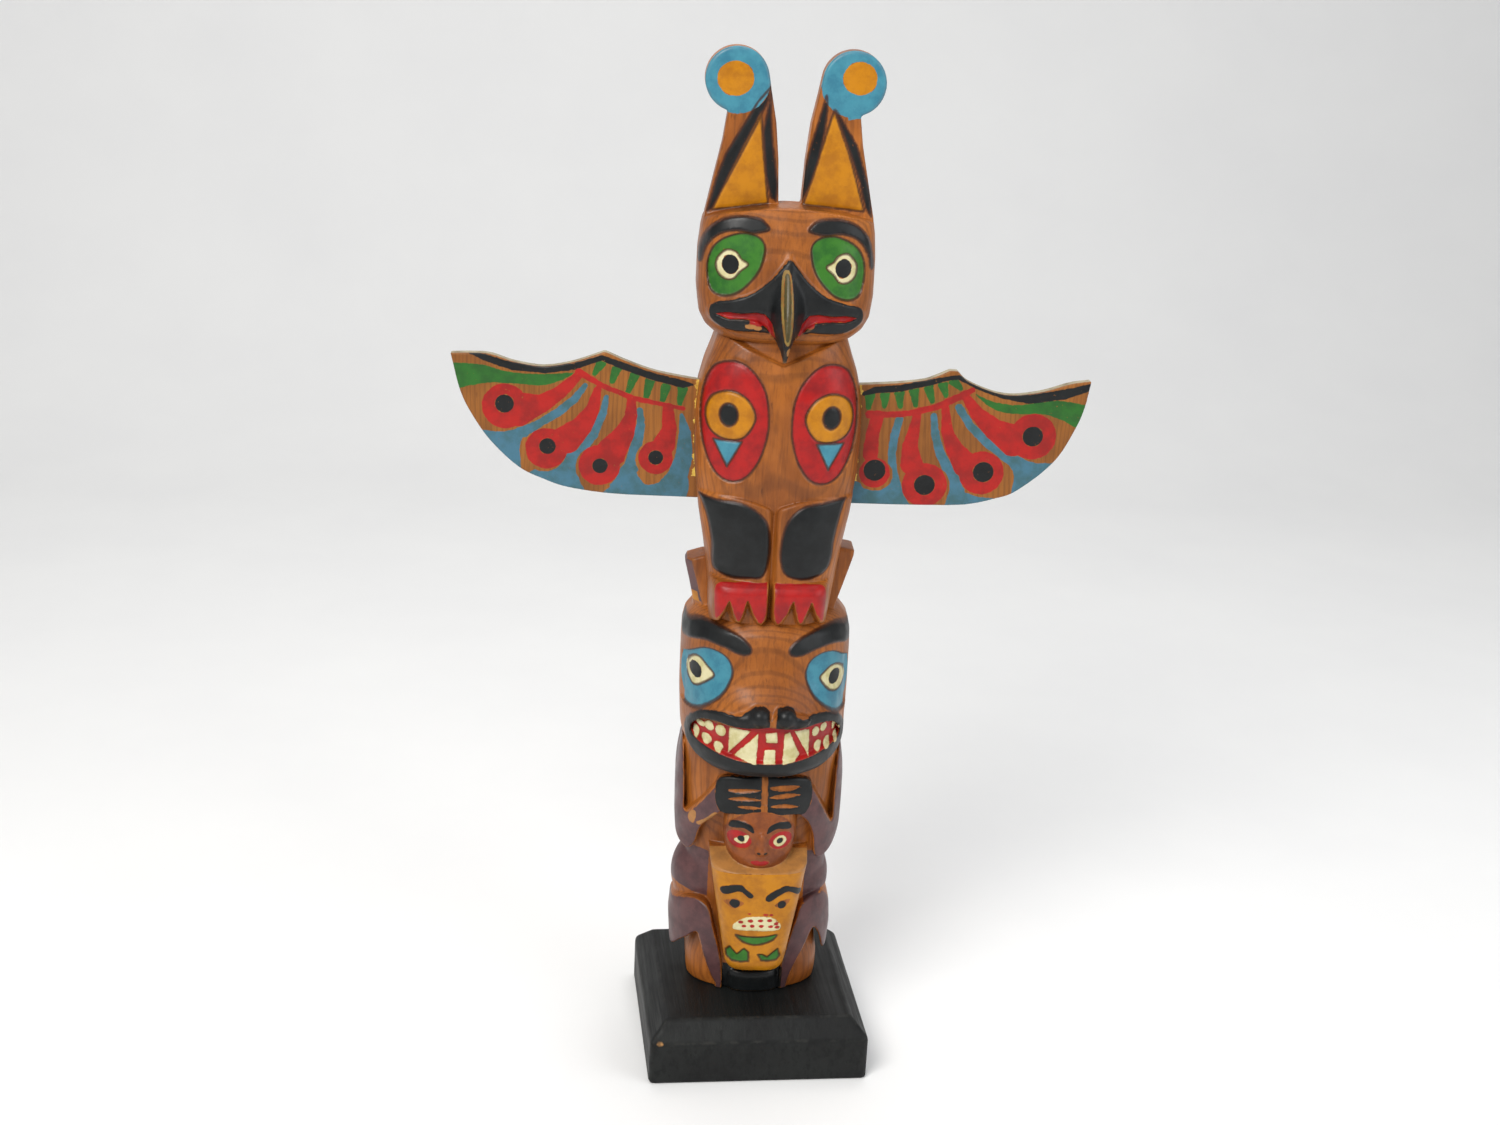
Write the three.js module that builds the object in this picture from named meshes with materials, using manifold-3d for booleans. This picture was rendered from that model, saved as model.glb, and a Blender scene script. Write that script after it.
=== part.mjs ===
// A carved and painted model totem pole on a bevelled square base.
//
// Millimetres. +Z is up, -Y is the front that the figures face, +X is to the right of a person
// who looks at them. The origin is the centre of the base's underside.
//
// From the top down the pole shows a thunderbird with tall ears, a hooked beak and folded legs,
// a bear with bared teeth, and between the bear's arms and knees a small human who holds a
// tapered copper. The pole is one carved block. The two wings are boards glued to its sides.
//
// Figure frame: the pole and the wings are laid out about the pole's own axis, then turned
// together on the base.

import * as THREE from 'three';
import { mergeVertices } from 'three/addons/utils/BufferGeometryUtils.js';
import Module from 'manifold-3d';

const wasm = await Module();
wasm.setup();

// ---------------------------------------------------------------- driving dimensions

const BASE_WIDTH = 88;
const BASE_THICKNESS = 25.4;
const BASE_BEVEL_WIDTH = 6.9;
const BASE_BEVEL_HEIGHT = 7.3;
const BASE_CORNER = 1.6;

const POLE_OFFSET = 0.5;          // the pole's axis from the base's centre
const POLE_TURN = -4;             // degrees, clockwise seen from above
const BLOCK_HALF = 33.2;          // half the width of the block
const BLOCK_BACK = 19;            // its flat back
const BACK_CORNER = 5;
const FIT_GAP = 0.3;              // clearance between separate pieces

const WING_FRONT = 3.7;
const WING_THICKNESS = 4.6;
const WING_ROOT = 24;             // how far in the boards are drawn before the body cuts them

const EAR_FRONT = -3;
const EAR_THICKNESS = 9;
const EAR_DISC = { x: 21.2, z: 389.4, radius: 11.6 };

const CARVE = 1.0;                // depth of an eye socket
const RAISE = 0.9;                // height of a brow or a lip
const GROOVE = { width: 1.1, depth: 0.8 };

const NOSE_X = 1.6;               // the bear's nose and mouth sit a little to one side
const PAW_X = 1.1;
const ARM_X = -1.4;               // the arms, knees and haunches a little to the other
const KNEE_X = -2.3;

const FRONT_STEPS = 10;
const CORNER_STEPS = 2;
const CURVE_STEPS = 20;
const FAR = 60;                   // beyond every surface of the pole

// ---------------------------------------------------------------- solids from three.js shapes

function solid(geometry) {
  const clean = geometry.clone();
  clean.deleteAttribute('normal');
  clean.deleteAttribute('uv');
  const merged = mergeVertices(clean, 1e-4);
  return new wasm.Manifold(new wasm.Mesh({
    numProp: 3,
    vertProperties: new Float32Array(merged.attributes.position.array),
    triVerts: new Uint32Array(merged.index.array),
  }));
}

function geometryOf(manifold) {
  const mesh = manifold.getMesh();
  const geometry = new THREE.BufferGeometry();
  geometry.setAttribute('position', new THREE.BufferAttribute(mesh.vertProperties, 3));
  geometry.setIndex(new THREE.BufferAttribute(mesh.triVerts, 1));
  geometry.computeVertexNormals();
  return geometry;
}

function joined(...solids) {
  return solids.reduce((sum, next) => sum.add(next));
}

function shapeOf(outline) {
  if (outline instanceof THREE.Shape) {
    return outline;
  }
  return new THREE.Shape(outline.map(([a, b]) => new THREE.Vector2(a, b)));
}

function extruded(outline, depth) {
  return new THREE.ExtrudeGeometry(shapeOf(outline), { depth, bevelEnabled: false, curveSegments: 6 });
}

// An outline in (x, z), thick from y = front to y = back.
function frontSlab(outline, front = -FAR, back = FAR) {
  const geometry = extruded(outline, back - front);
  geometry.rotateX(Math.PI / 2);
  geometry.translate(0, back, 0);
  return solid(geometry);
}

// An outline in (y, z), thick from x = left to x = right.
function sideSlab(outline, left = -FAR, right = FAR) {
  const geometry = extruded(outline, right - left);
  geometry.rotateX(Math.PI / 2);
  geometry.rotateZ(Math.PI / 2);
  geometry.translate(left, 0, 0);
  return solid(geometry);
}

// An outline in (x, y), thick from z = low to z = high.
function planSlab(outline, low, high) {
  const geometry = extruded(outline, high - low);
  geometry.translate(0, 0, low);
  return solid(geometry);
}

function ellipsoid([x, y, z], [rx, ry, rz]) {
  const geometry = new THREE.SphereGeometry(1, 14, 8);
  geometry.scale(rx, ry, rz);
  geometry.translate(x, y, z);
  return solid(geometry);
}

// A round closed curve through a few points.
function smooth(points, steps = CURVE_STEPS) {
  const knots = points.map(([a, b]) => new THREE.Vector3(a, b, 0));
  const curve = new THREE.CatmullRomCurve3(knots, true, 'centripetal');
  return curve.getPoints(steps).slice(0, -1).map((point) => [point.x, point.y]);
}

function ellipse([x, z], [rx, rz], steps = 18) {
  return new THREE.EllipseCurve(x, z, rx, rz).getPoints(steps).slice(0, -1).map((p) => [p.x, p.y]);
}

function moved(outline, dx, dz = 0) {
  return outline.map(([x, z]) => [x + dx, z + dz]);
}

function mirrored(outline) {
  return outline.map(([x, z]) => [-x, z]).reverse();
}

// A right half drawn from the centre line round to the centre line, closed by its mirror image.
function bothHalves(half) {
  return [...half, ...mirrored(half).slice(1, -1)];
}

// ---------------------------------------------------------------- columns

// One ring of a column: a rounded front between straight sides and a flat back.
function ringPoints([z, half, front], form, grow) {
  const { side, power, back = BLOCK_BACK, corner = BACK_CORNER, x = 0 } = form;
  const wide = half + grow;
  const deep = side - front + grow;
  const rear = back + grow;
  const points = [];
  for (let i = 0; i <= FRONT_STEPS; i += 1) {
    const angle = Math.PI * (1 - i / FRONT_STEPS);
    const across = Math.sign(Math.cos(angle)) * Math.abs(Math.cos(angle)) ** (2 / power);
    points.push([x + wide * across, side - deep * Math.sin(angle), z]);
  }
  for (const sign of [1, -1]) {
    for (let i = 0; i <= CORNER_STEPS; i += 1) {
      const step = sign > 0 ? i : CORNER_STEPS - i;
      const angle = (Math.PI / 2) * (step / CORNER_STEPS);
      const inset = corner * (1 - Math.cos(angle));
      points.push([x + sign * (wide - inset), rear - corner * (1 - Math.sin(angle)), z]);
    }
  }
  return points;
}

// A column through levels of [z, half width, front], closed flat at both ends.
function column(levels, form, grow = 0) {
  const rings = levels.map((level) => ringPoints(level, form, grow));
  const count = rings[0].length;
  const positions = rings.flat(2);
  const index = [];
  for (let r = 0; r + 1 < rings.length; r += 1) {
    for (let i = 0; i < count; i += 1) {
      const a = r * count + i;
      const b = r * count + ((i + 1) % count);
      index.push(a, b, b + count, a, b + count, a + count);
    }
  }
  for (const [ring, flip] of [[0, true], [rings.length - 1, false]]) {
    const centre = positions.length / 3;
    const middle = (form.side + (form.back ?? BLOCK_BACK)) / 2;
    positions.push(form.x ?? 0, middle, rings[ring][0][2]);
    for (let i = 0; i < count; i += 1) {
      const a = ring * count + i;
      const b = ring * count + ((i + 1) % count);
      index.push(centre, flip ? b : a, flip ? a : b);
    }
  }
  const geometry = new THREE.BufferGeometry();
  geometry.setAttribute('position', new THREE.Float32BufferAttribute(positions, 3));
  geometry.setIndex(index);
  return solid(geometry);
}

// ---------------------------------------------------------------- carving

// A patch of a surface, standing `height` proud of it inside an outline.
function raised(surface, outline, height = RAISE, back = 0) {
  return frontSlab(outline, -FAR, back).intersect(surface(height));
}

// What a gouge takes out of a surface inside an outline, to an even depth.
function sunk(surface, outline, depth = CARVE, back = BLOCK_BACK - BACK_CORNER) {
  return frontSlab(outline, -FAR, back).subtract(surface(-depth));
}

// A narrow cut that follows a closed outline about its own centre.
function grooveRound(surface, outline, centre) {
  const scaled = (offset) => outline.map(([x, z]) => {
    const away = Math.hypot(x - centre[0], z - centre[1]);
    const factor = (away + offset) / away;
    return [centre[0] + (x - centre[0]) * factor, centre[1] + (z - centre[1]) * factor];
  });
  const outer = frontSlab(scaled(GROOVE.width / 2), -FAR, 0);
  const inner = frontSlab(scaled(-GROOVE.width / 2), -FAR - 1, 1);
  return outer.subtract(inner).subtract(surface(-GROOVE.depth));
}

// A straight cut from one point to another.
function grooveLine(surface, [x0, z0], [x1, z1], width = GROOVE.width, depth = GROOVE.depth) {
  const length = Math.hypot(x1 - x0, z1 - z0);
  const nx = (-(z1 - z0) / length) * (width / 2);
  const nz = ((x1 - x0) / length) * (width / 2);
  const outline = [[x0 + nx, z0 + nz], [x0 - nx, z0 - nz], [x1 - nx, z1 - nz], [x1 + nx, z1 + nz]];
  return frontSlab(outline, -FAR, 0).subtract(surface(-depth));
}

function pair(make) {
  return joined(make((outline) => outline), make(mirrored));
}

// ---------------------------------------------------------------- thunderbird

const HEAD_LEVELS = [
  [294.8, 22, -12], [296.4, 25.8, -14.6], [299.5, 29.4, -16.2], [304, 31.8, -17],
  [314, 33, -17.2], [332, 32.5, -16.2], [341, 31.4, -14.2], [347, 30.6, -11.5],
];
const HEAD_FORM = { side: 0, power: 3.5 };
const HEAD_CROWN = { edge: 31.5, edgeHeight: 339.6, height: 344.6 };
const HEAD_NAPE = [[BLOCK_BACK, 321], [6.2, 345.5]];

const head = (grow) => column(HEAD_LEVELS, HEAD_FORM, grow);

// The arched crown, and the nape that slopes from behind the ears down to the flat back.
function trimmedHead() {
  const { edge, edgeHeight, height } = HEAD_CROWN;
  const arch = new THREE.Shape();
  arch.moveTo(-FAR, 290);
  arch.lineTo(FAR, 290);
  arch.lineTo(FAR, edgeHeight);
  arch.lineTo(edge, edgeHeight);
  arch.quadraticCurveTo(0, 2 * height - edgeHeight, -edge, edgeHeight);
  arch.lineTo(-FAR, edgeHeight);
  const [low, high] = HEAD_NAPE;
  const nape = sideSlab([[low[0] + 1, low[1]], [low[0] + 1, 360], [high[0], 360], high]);
  return head(0).intersect(frontSlab(arch)).subtract(nape);
}

function ear(side) {
  const { x, z, radius } = EAR_DISC;
  const shape = new THREE.Shape();
  shape.moveTo(31.4, 336);
  shape.lineTo(31.2, 340);
  shape.quadraticCurveTo(26.5, 361, 24, 378.2);
  shape.absarc(x, z, radius, -1.32, 2.9, false);
  shape.quadraticCurveTo(6.2, 374, 4.2, 345);
  shape.lineTo(4.2, 336);
  const outline = shape.getPoints(6).map((point) => [side * point.x, point.y]);
  return frontSlab(outline, EAR_FRONT, EAR_FRONT + EAR_THICKNESS);
}

// The black stripes and the yellow triangle of each ear meet in shallow cuts.
function earCuts() {
  const face = (grow) => frontSlab([[-FAR, 330], [FAR, 330], [FAR, 420], [-FAR, 420]], EAR_FRONT - grow);
  return pair((outline) => {
    const [apex, inner, outer] = outline([[12.3, 378], [5.9, 346], [28.3, 343.5]]).sort((a, b) => b[1] - a[1]);
    return joined(grooveLine(face, apex, inner), grooveLine(face, apex, outer));
  });
}

const EYE_SOCKET = smooth([
  [28.8, 319.5], [28.4, 325.6], [26.2, 330.7], [22, 334], [16, 335.6], [10.4, 334.3], [8.4, 331.3],
  [8.8, 326.8], [10.6, 321.7], [14.1, 317], [18.2, 313.5], [23, 312.2], [27.2, 313.4],
]);
const BIRD_BROW = smooth([
  [7.4, 336.8], [8.6, 339.6], [12, 341.4], [18, 341.7], [24, 339.8], [28, 336.4], [30.6, 331.5], [32.4, 324],
  [31.4, 323.6], [29.9, 328.6], [27.6, 332.4], [24, 335.2], [18.8, 336.4], [13, 336],
]);
const BILL_BAND = bothHalves([
  [0, 326.4], [3.4, 323.6], [8.2, 318.4], [13, 314.6], [20, 312], [26.4, 310.2], [29, 307],
  [28, 303.6], [24.6, 300.8], [18, 299.9], [9, 300.2], [0, 299.8],
]);
const BILL_SLIT = [[26.2, 305.9], [17, 306.7], [10, 307.4], [5.6, 303.4], [4, 299.6], [8.2, 303.2], [13, 304.2], [25.6, 304.6]];

const BEAK_LEVELS = [
  { z: 327, ridge: -17.6, half: 1.2, root: -12 }, { z: 322, ridge: -20.8, half: 4.4, root: -12 },
  { z: 315, ridge: -24.4, half: 6.8, root: -12 }, { z: 308, ridge: -27.2, half: 7.0, root: -12 },
  { z: 302, ridge: -29.2, half: 5.6, root: -13 }, { z: 298, ridge: -30.0, half: 4.0, root: -19 },
  { z: 294.6, ridge: -29.8, half: 2.4, root: -24.5 }, { z: 291.4, ridge: -28.6, half: 0.7, root: -27.6 },
];
const BEAK_TIP_X = -0.8;

// The hooked beak: rings with a blunt ridge in front and steep cheeks, narrowing to the tip.
function beak() {
  const across = [-1, -0.95, -0.72, -0.36, 0, 0.36, 0.72, 0.95, 1];
  const top = BEAK_LEVELS[0].z;
  const drop = top - BEAK_LEVELS.at(-1).z;
  const positions = [];
  for (const { z, ridge, half, root } of BEAK_LEVELS) {
    const x = BEAK_TIP_X * ((top - z) / drop);
    for (const u of across) {
      positions.push(x + u * half, root + (ridge - root) * (1 - Math.abs(u) ** 1.6), z);
    }
  }
  const count = across.length;
  const index = [];
  for (let r = 0; r + 1 < BEAK_LEVELS.length; r += 1) {
    for (let i = 0; i < count; i += 1) {
      const a = r * count + i;
      const b = r * count + ((i + 1) % count);
      index.push(b, a, b + count, b + count, a, a + count);
    }
  }
  for (let i = 1; i + 1 < count; i += 1) {
    index.push(0, i, i + 1);
    const last = (BEAK_LEVELS.length - 1) * count;
    index.push(last, last + i + 1, last + i);
  }
  const geometry = new THREE.BufferGeometry();
  geometry.setAttribute('position', new THREE.Float32BufferAttribute(positions, 3));
  geometry.setIndex(index);
  return solid(geometry);
}

const CHEST_LEVELS = [
  [226, 28, -15.6], [234, 30.2, -17], [244, 31.2, -17.8], [256, 31.6, -18], [266, 31.4, -18],
  [275, 30.6, -17.8], [283, 28.6, -16.8], [290, 26, -15], [297, 24, -13],
];
const CHEST_FORM = { side: 0, power: 3 };
const CHEST_EYE = { centre: [17.2, 264.8], outer: [12.4, 22.4], iris: [18.4, 267.6], irisSize: [9.2, 8.9] };
const NECK_V = [[-21.5, 296.5], [0, 286.7], [22, 297], [22, 300], [-21.5, 300]];
const NECK_DEPTH = 2.2;

const chest = (grow) => column(CHEST_LEVELS, CHEST_FORM, grow);

// The waist behind the legs, down to the crown of the bear.
const WAIST_LEVELS = [[180, 21, -13.5], [196, 23.6, -14], [214, 25.8, -14.4], [230, 28.4, -15.2]];
const WAIST_FORM = { side: 0, power: 3 };

// The folded legs stand proud of the chest, with a V-shaped groove between them.
const LEG_LEVELS = [
  [183, 22.6, -17.6], [192, 23.6, -18.6], [204, 25, -19.6], [216, 26.8, -20], [228, 29.2, -19.8], [237, 30.2, -18.6],
];
const LEG_FORM = { side: -2, power: 2.6, back: 3, corner: 1 };
const LEG_TOP = bothHalves([
  [0, 231], [4, 233.2], [9, 234.6], [16, 235.4], [23, 234.7], [28, 232.8], [32, 228.5], [32, 180], [0, 180],
]);
const LEG_GROOVE = { x: -0.8, half: 2.6, depth: 5, low: 202, high: 238 };

function legs() {
  const { x, half, depth, low, high } = LEG_GROOVE;
  const front = LEG_LEVELS[3][2];
  const groove = planSlab([[x - half, front - 1], [x + half, front - 1], [x, front + depth]], low, high);
  return column(LEG_LEVELS, LEG_FORM).intersect(frontSlab(LEG_TOP)).subtract(groove);
}

const FOOT_LEVELS = [
  [183, 22.2, -20.2], [188, 22.8, -21.8], [196, 23.2, -22.8], [201, 23.2, -22.4], [203.6, 23, -20.6], [204.6, 22.6, -18],
];
const FOOT_FORM = { side: -4, power: 3, back: 8, corner: 2 };
const TOES = [
  [0.8, 205], [23.4, 205], [23, 200], [20.2, 186.4], [18.4, 186.4], [14.6, 195.6],
  [9.9, 186.8], [8.3, 186.8], [6.6, 195.4], [2.6, 186.8], [1, 186.8],
];

// ---------------------------------------------------------------- bear

const BEAR_LEVELS = [
  [125.6, 17, -15], [127.4, 23, -21.5], [130, 28, -27.5], [135, 31.4, -30.8], [146, 33.2, -31.8],
  [153, 33.2, -32.4], [157, 33.2, -30.6], [162, 33.2, -27.4], [168, 33.2, -25], [175, 33.1, -23.6],
  [180.5, 32.4, -22.4], [184, 30.6, -20.6], [186.6, 27.4, -17.8], [188, 24, -15],
];
const BEAR_FORM = { side: 8, power: 2.1 };
const bear = (grow) => column(BEAR_LEVELS, BEAR_FORM, grow);

const BEAR_EAR = { front: -1, back: 12 };
const BEAR_EARS = {
  left: [[-24, 182], [-29, 184], [-30.1, 190], [-33.2, 203.4], [-32.3, 205.4], [-26.6, 207], [-18, 207]],
  right: [[18, 184], [24.9, 184], [29, 197.6], [32.3, 208.6], [32.4, 211.4], [26, 212.4], [18, 212]],
};

const BEAR_BROW = smooth([
  [7.2, 176.9], [9, 179.6], [12, 181.7], [18.6, 183.8], [25.6, 184.2], [30, 181.8], [34, 177],
  [34, 172], [30, 175], [25, 177.4], [17.6, 176.8], [12.8, 175.2], [9, 175],
]);
const BEAR_SOCKET = smooth([
  [36, 160], [33, 166.6], [26.5, 172.8], [21, 174.2], [16.2, 172.4], [14.2, 168.3], [15, 163.8],
  [18, 158.5], [23, 153.4], [28.4, 149], [33, 148.6], [36, 152],
]);
const BEAR_SOCKET_BACK = 5;
const NOSTRIL = { spread: 4.9, y: -31.6, z: 152.8, size: [4.1, 4, 4.1] };
const LIPS_OUTER = smooth(bothHalves([
  [0, 151.4], [9, 153.6], [13.8, 152.3], [19.4, 152.9], [25.4, 150.7], [29.2, 146.8], [31.2, 141],
  [30.8, 135.4], [27.3, 132.9], [21, 130.6], [12, 128.9], [0, 128.3],
]), 28);
const LIPS_INNER = smooth(bothHalves([
  [0, 149.2], [6, 148.2], [13, 147.7], [20, 148.4], [25.8, 146.8], [28.4, 142.4],
  [28, 137], [25.2, 134.8], [19, 133.6], [11, 133.1], [0, 132.8],
]), 28);
const TOOTH_GAPS = [
  [[-15, 148], [-15.2, 135]], [[-5.4, 147.2], [-14.4, 136]], [[-2.1, 148], [-2.6, 133]],
  [[5.1, 148], [5.2, 133]], [[10, 146.6], [15.2, 134.6]], [[16.9, 148], [18, 135]],
];

function bearMouth(body) {
  const lips = moved(LIPS_OUTER, NOSE_X / 3);
  const mouth = moved(LIPS_INNER, NOSE_X / 3);
  const nostrils = [-1, 1].map((side) => {
    const { spread, y, z, size } = NOSTRIL;
    return ellipsoid([NOSE_X + side * spread, y, z], size);
  });
  const philtrum = frontSlab(moved([[-1, 147], [1, 147], [1, 158], [-1, 158]], NOSE_X), -FAR, -31);
  const gaps = TOOTH_GAPS.map(([from, to]) => grooveLine(bear, from, to, 1.3, 1));
  const faced = joined(body, raised(bear, lips), ...nostrils).subtract(philtrum);
  return faced.subtract(frontSlab(mouth, -FAR, 0).subtract(bear(0))).subtract(joined(...gaps));
}

// The bear's own trunk, behind its arms and knees, and the foot of the pole.
const TRUNK_LEVELS = [
  [BASE_THICKNESS + FIT_GAP, 26, -14.6], [30, 26.8, -15.4], [37, 27.2, -15.2], [46, 25.4, -13.8],
  [82, 28.4, -12.6], [110, 30.4, -15], [122, 30.8, -16], [130, 30.6, -16],
];
const TRUNK_FORM = { side: 1, power: 2.4 };
const trunk = (grow) => column(TRUNK_LEVELS, TRUNK_FORM, grow);

// The block's own surface round the bear's limbs: arms, paws and knees are left standing to it.
const LIMB_LEVELS = [
  [BASE_THICKNESS + FIT_GAP, 30, -16.8], [32, 31, -18], [40, 32.6, -19.6], [50, 33, -20.4], [60, 32.4, -20.6], [66, 31, -19],
  [78, 31, -17.6], [84, 32.4, -18], [94, 33.2, -20.4], [105, 33.2, -23.4], [116, 33.2, -24], [122, 33, -23.2], [131, 31.8, -20],
];
const LIMB_FORM = { side: 3, power: 2.1 };
const limb = (grow) => column(LIMB_LEVELS, LIMB_FORM, grow);

const ARM = smooth([
  [31.4, 131], [33.8, 124], [34.4, 110], [34.4, 96], [32.6, 87], [29.5, 81.6], [26.4, 80], [24.4, 84],
  [22.8, 91], [20.3, 100.6], [16, 105], [13, 112], [13.5, 119.6], [18.8, 118.6], [23.3, 111], [28, 102.2],
  [29.4, 109], [30, 120],
], 32);
const ARM_BACK = 13;
const PAW = smooth([
  [0, 108], [8, 107.6], [15.6, 107], [18.6, 109.4], [19.4, 115], [18.4, 121], [14, 123], [7, 123.2], [0, 122.8],
]);
const FINGERS = [118.6, 114.9, 111];
const FINGER_REACH = [1.6, 14.2];

const KNEE = smooth([
  [33.4, 41], [33.8, 49], [33.2, 56], [31, 60.6], [27.4, 63.9], [24, 64.8], [20.4, 62],
  [17.6, 56], [18.4, 49], [22, 46], [25.4, 40.4], [28.6, 37],
]);
const KNEE_BACK = 12;
const HAUNCH = { x: 18, y: 5, z: 69, size: [12.8, 13.5, 17] };
const SHIN = [[24.4, 58], [22.4, 49], [19.8, 39], [16.6, 30.6], [14.6, 25.8], [12, 25.8], [11.9, 38], [15.2, 51], [18, 62]];
const INSTEP = { half: 12.4, top: 36, front: -17.8 };

// ---------------------------------------------------------------- human and copper

const HUMAN_LEVELS = [
  [82.5, 7, -21.5], [84.3, 9.4, -24.6], [86.6, 11.6, -25.8], [90.5, 13.6, -26.2], [96, 14.4, -26], [102, 14.5, -25.2], [110, 14.2, -23.8],
];
const HUMAN_FORM = { side: -15, power: 2.2, back: -6, corner: 2 };
const HUMAN_NOSE = { z: 94.6, y: -25.6, size: [2.1, 1.9, 3.4] };
const HUMAN_EYE = { x: 7.9, z: 97.4, size: [4.8, 3.7] };

const COPPER_LEVELS = [
  [40.6, 8, -22.6], [41.6, 10.2, -25.4], [43.6, 11.8, -26.8], [47.5, 12.8, -27.4], [58, 14.6, -27.8], [72, 17, -28.2], [84.2, 18.9, -28.4],
];
const COPPER_FORM = { side: -20, power: 3.2, back: -6, corner: 2 };

function human() {
  const face = (grow) => column(HUMAN_LEVELS, HUMAN_FORM, grow);
  const { x, z, size } = HUMAN_EYE;
  const sockets = pair((outline) => sunk(face, outline(ellipse([x, z], size)), 0.6, -12));
  const nose = ellipsoid([0, HUMAN_NOSE.y, HUMAN_NOSE.z], HUMAN_NOSE.size);
  return face(0).subtract(sockets).add(nose);
}

function copper() {
  return column(COPPER_LEVELS, COPPER_FORM);
}

// ---------------------------------------------------------------- the pole

function thunderbird() {
  const headRaised = joined(
    pair((outline) => raised(head, outline(BIRD_BROW), RAISE, 8)),
    raised(head, BILL_BAND),
  );
  const headSunk = joined(
    pair((outline) => sunk(head, outline(EYE_SOCKET))),
    pair((outline) => frontSlab(outline(BILL_SLIT), -FAR, 0).subtract(head(0))),
  );
  const face = joined(trimmedHead(), headRaised).subtract(headSunk);
  const { centre, outer, iris, irisSize } = CHEST_EYE;
  const chestCuts = joined(
    pair((outline) => grooveRound(chest, outline(ellipse(centre, outer)), outline([centre])[0])),
    pair((outline) => grooveRound(chest, outline(ellipse(iris, irisSize, 12)), outline([iris])[0])),
    sunk(chest, NECK_V, NECK_DEPTH),
  );
  const feet = pair((outline) => frontSlab(outline(TOES)).intersect(column(FOOT_LEVELS, FOOT_FORM)));
  const ears = joined(ear(1), ear(-1)).subtract(earCuts());
  return joined(
    face,
    beak(),
    ears,
    chest(0).subtract(chestCuts),
    column(WAIST_LEVELS, WAIST_FORM),
    legs(),
    feet,
  );
}

function bearFigure() {
  const brows = pair((outline) => raised(bear, outline(BEAR_BROW), RAISE, 12));
  const sockets = pair((outline) => sunk(bear, outline(BEAR_SOCKET), CARVE, BEAR_SOCKET_BACK));
  const ears = ['left', 'right'].map((side) => frontSlab(BEAR_EARS[side], BEAR_EAR.front, BEAR_EAR.back));
  const faced = bearMouth(joined(bear(0), brows).subtract(sockets));
  const arms = pair((outline) => frontSlab(moved(outline(ARM), ARM_X), -FAR, ARM_BACK));
  const paws = pair((outline) => frontSlab(moved(outline(PAW), PAW_X / 2), -FAR, 0));
  const knees = pair((outline) => frontSlab(moved(outline(KNEE), KNEE_X), -FAR, KNEE_BACK));
  const shins = pair((outline) => frontSlab(outline(SHIN), -FAR, 0));
  const limbs = joined(arms, paws, knees, shins).intersect(limb(0));
  const haunches = [-1, 1].map((side) => {
    const { x, y, z, size } = HAUNCH;
    return ellipsoid([KNEE_X + side * x, y, z], size);
  });
  const { half, top, front } = INSTEP;
  const instep = column(
    [[BASE_THICKNESS + FIT_GAP, half, front], [top - 1.5, half, front - 0.4], [top, half - 0.4, front + 0.6]],
    { side: -8, power: 3, back: 0, corner: 2 },
  );
  const fingers = FINGERS.flatMap((z) => [1, -1].map((side) => {
    const [near, far] = FINGER_REACH;
    return grooveLine(limb, [PAW_X + side * near, z], [PAW_X + side * far, z], 0.8);
  }));
  const parting = grooveLine(limb, [PAW_X, 107], [PAW_X, 124], 1.6);
  const handed = limbs.subtract(joined(parting, ...fingers));
  return joined(faced, ...ears, trunk(0), handed, ...haunches, instep);
}

function poleSolid() {
  return joined(thunderbird(), bearFigure(), human(), copper());
}

// ---------------------------------------------------------------- wings

// Right-hand outlines in (distance from the axis, z). The boards are a hand-cut pair.
const WINGS = {
  right: {
    root: [277, 228.6], shoulder: [[53, 278.8], [60, 281]], peak: [66.3, 283.2],
    dip: [[72, 278.6], [79.5, 275], [89.6, 274.1], [99.4, 276.6], [109.1, 279.2]], tip: [119.1, 280.4],
    belly: [[118.2, 269.8], [115.4, 261.4], [108.1, 247.8], [95, 236.2], [80, 229.8]], flat: 69.9,
  },
  left: {
    root: [277, 229.3], shoulder: [[48.5, 279.2], [59, 282]], peak: [66.2, 285.6],
    dip: [[71.4, 283.6], [79.3, 280.7], [90.4, 279.3], [100.8, 281], [109.8, 284]], tip: [124.3, 283.5],
    belly: [[120.6, 269.4], [117, 261], [109, 249.4], [97.5, 239.4], [83.3, 233]], flat: 70,
  },
};

function wingOutline({ root, shoulder, peak, dip, tip, belly, flat }) {
  const [top, low] = root;
  const spline = (points) => points.map(([x, z]) => new THREE.Vector2(x, z));
  const shape = new THREE.Shape();
  shape.moveTo(WING_ROOT, low);
  shape.lineTo(flat, low);
  shape.splineThru(spline([...belly].reverse().concat([tip])));
  shape.splineThru(spline([...dip].reverse().concat([peak])));
  shape.splineThru(spline([...shoulder].reverse().concat([[WING_ROOT, top]])));
  return shape.getPoints(3).map((point) => [point.x, point.y]);
}

function wing(side, body) {
  const outline = wingOutline(WINGS[side]);
  const board = frontSlab(side === 'right' ? outline : mirrored(outline), WING_FRONT, WING_FRONT + WING_THICKNESS);
  return board.subtract(body);
}

// ---------------------------------------------------------------- base

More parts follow.
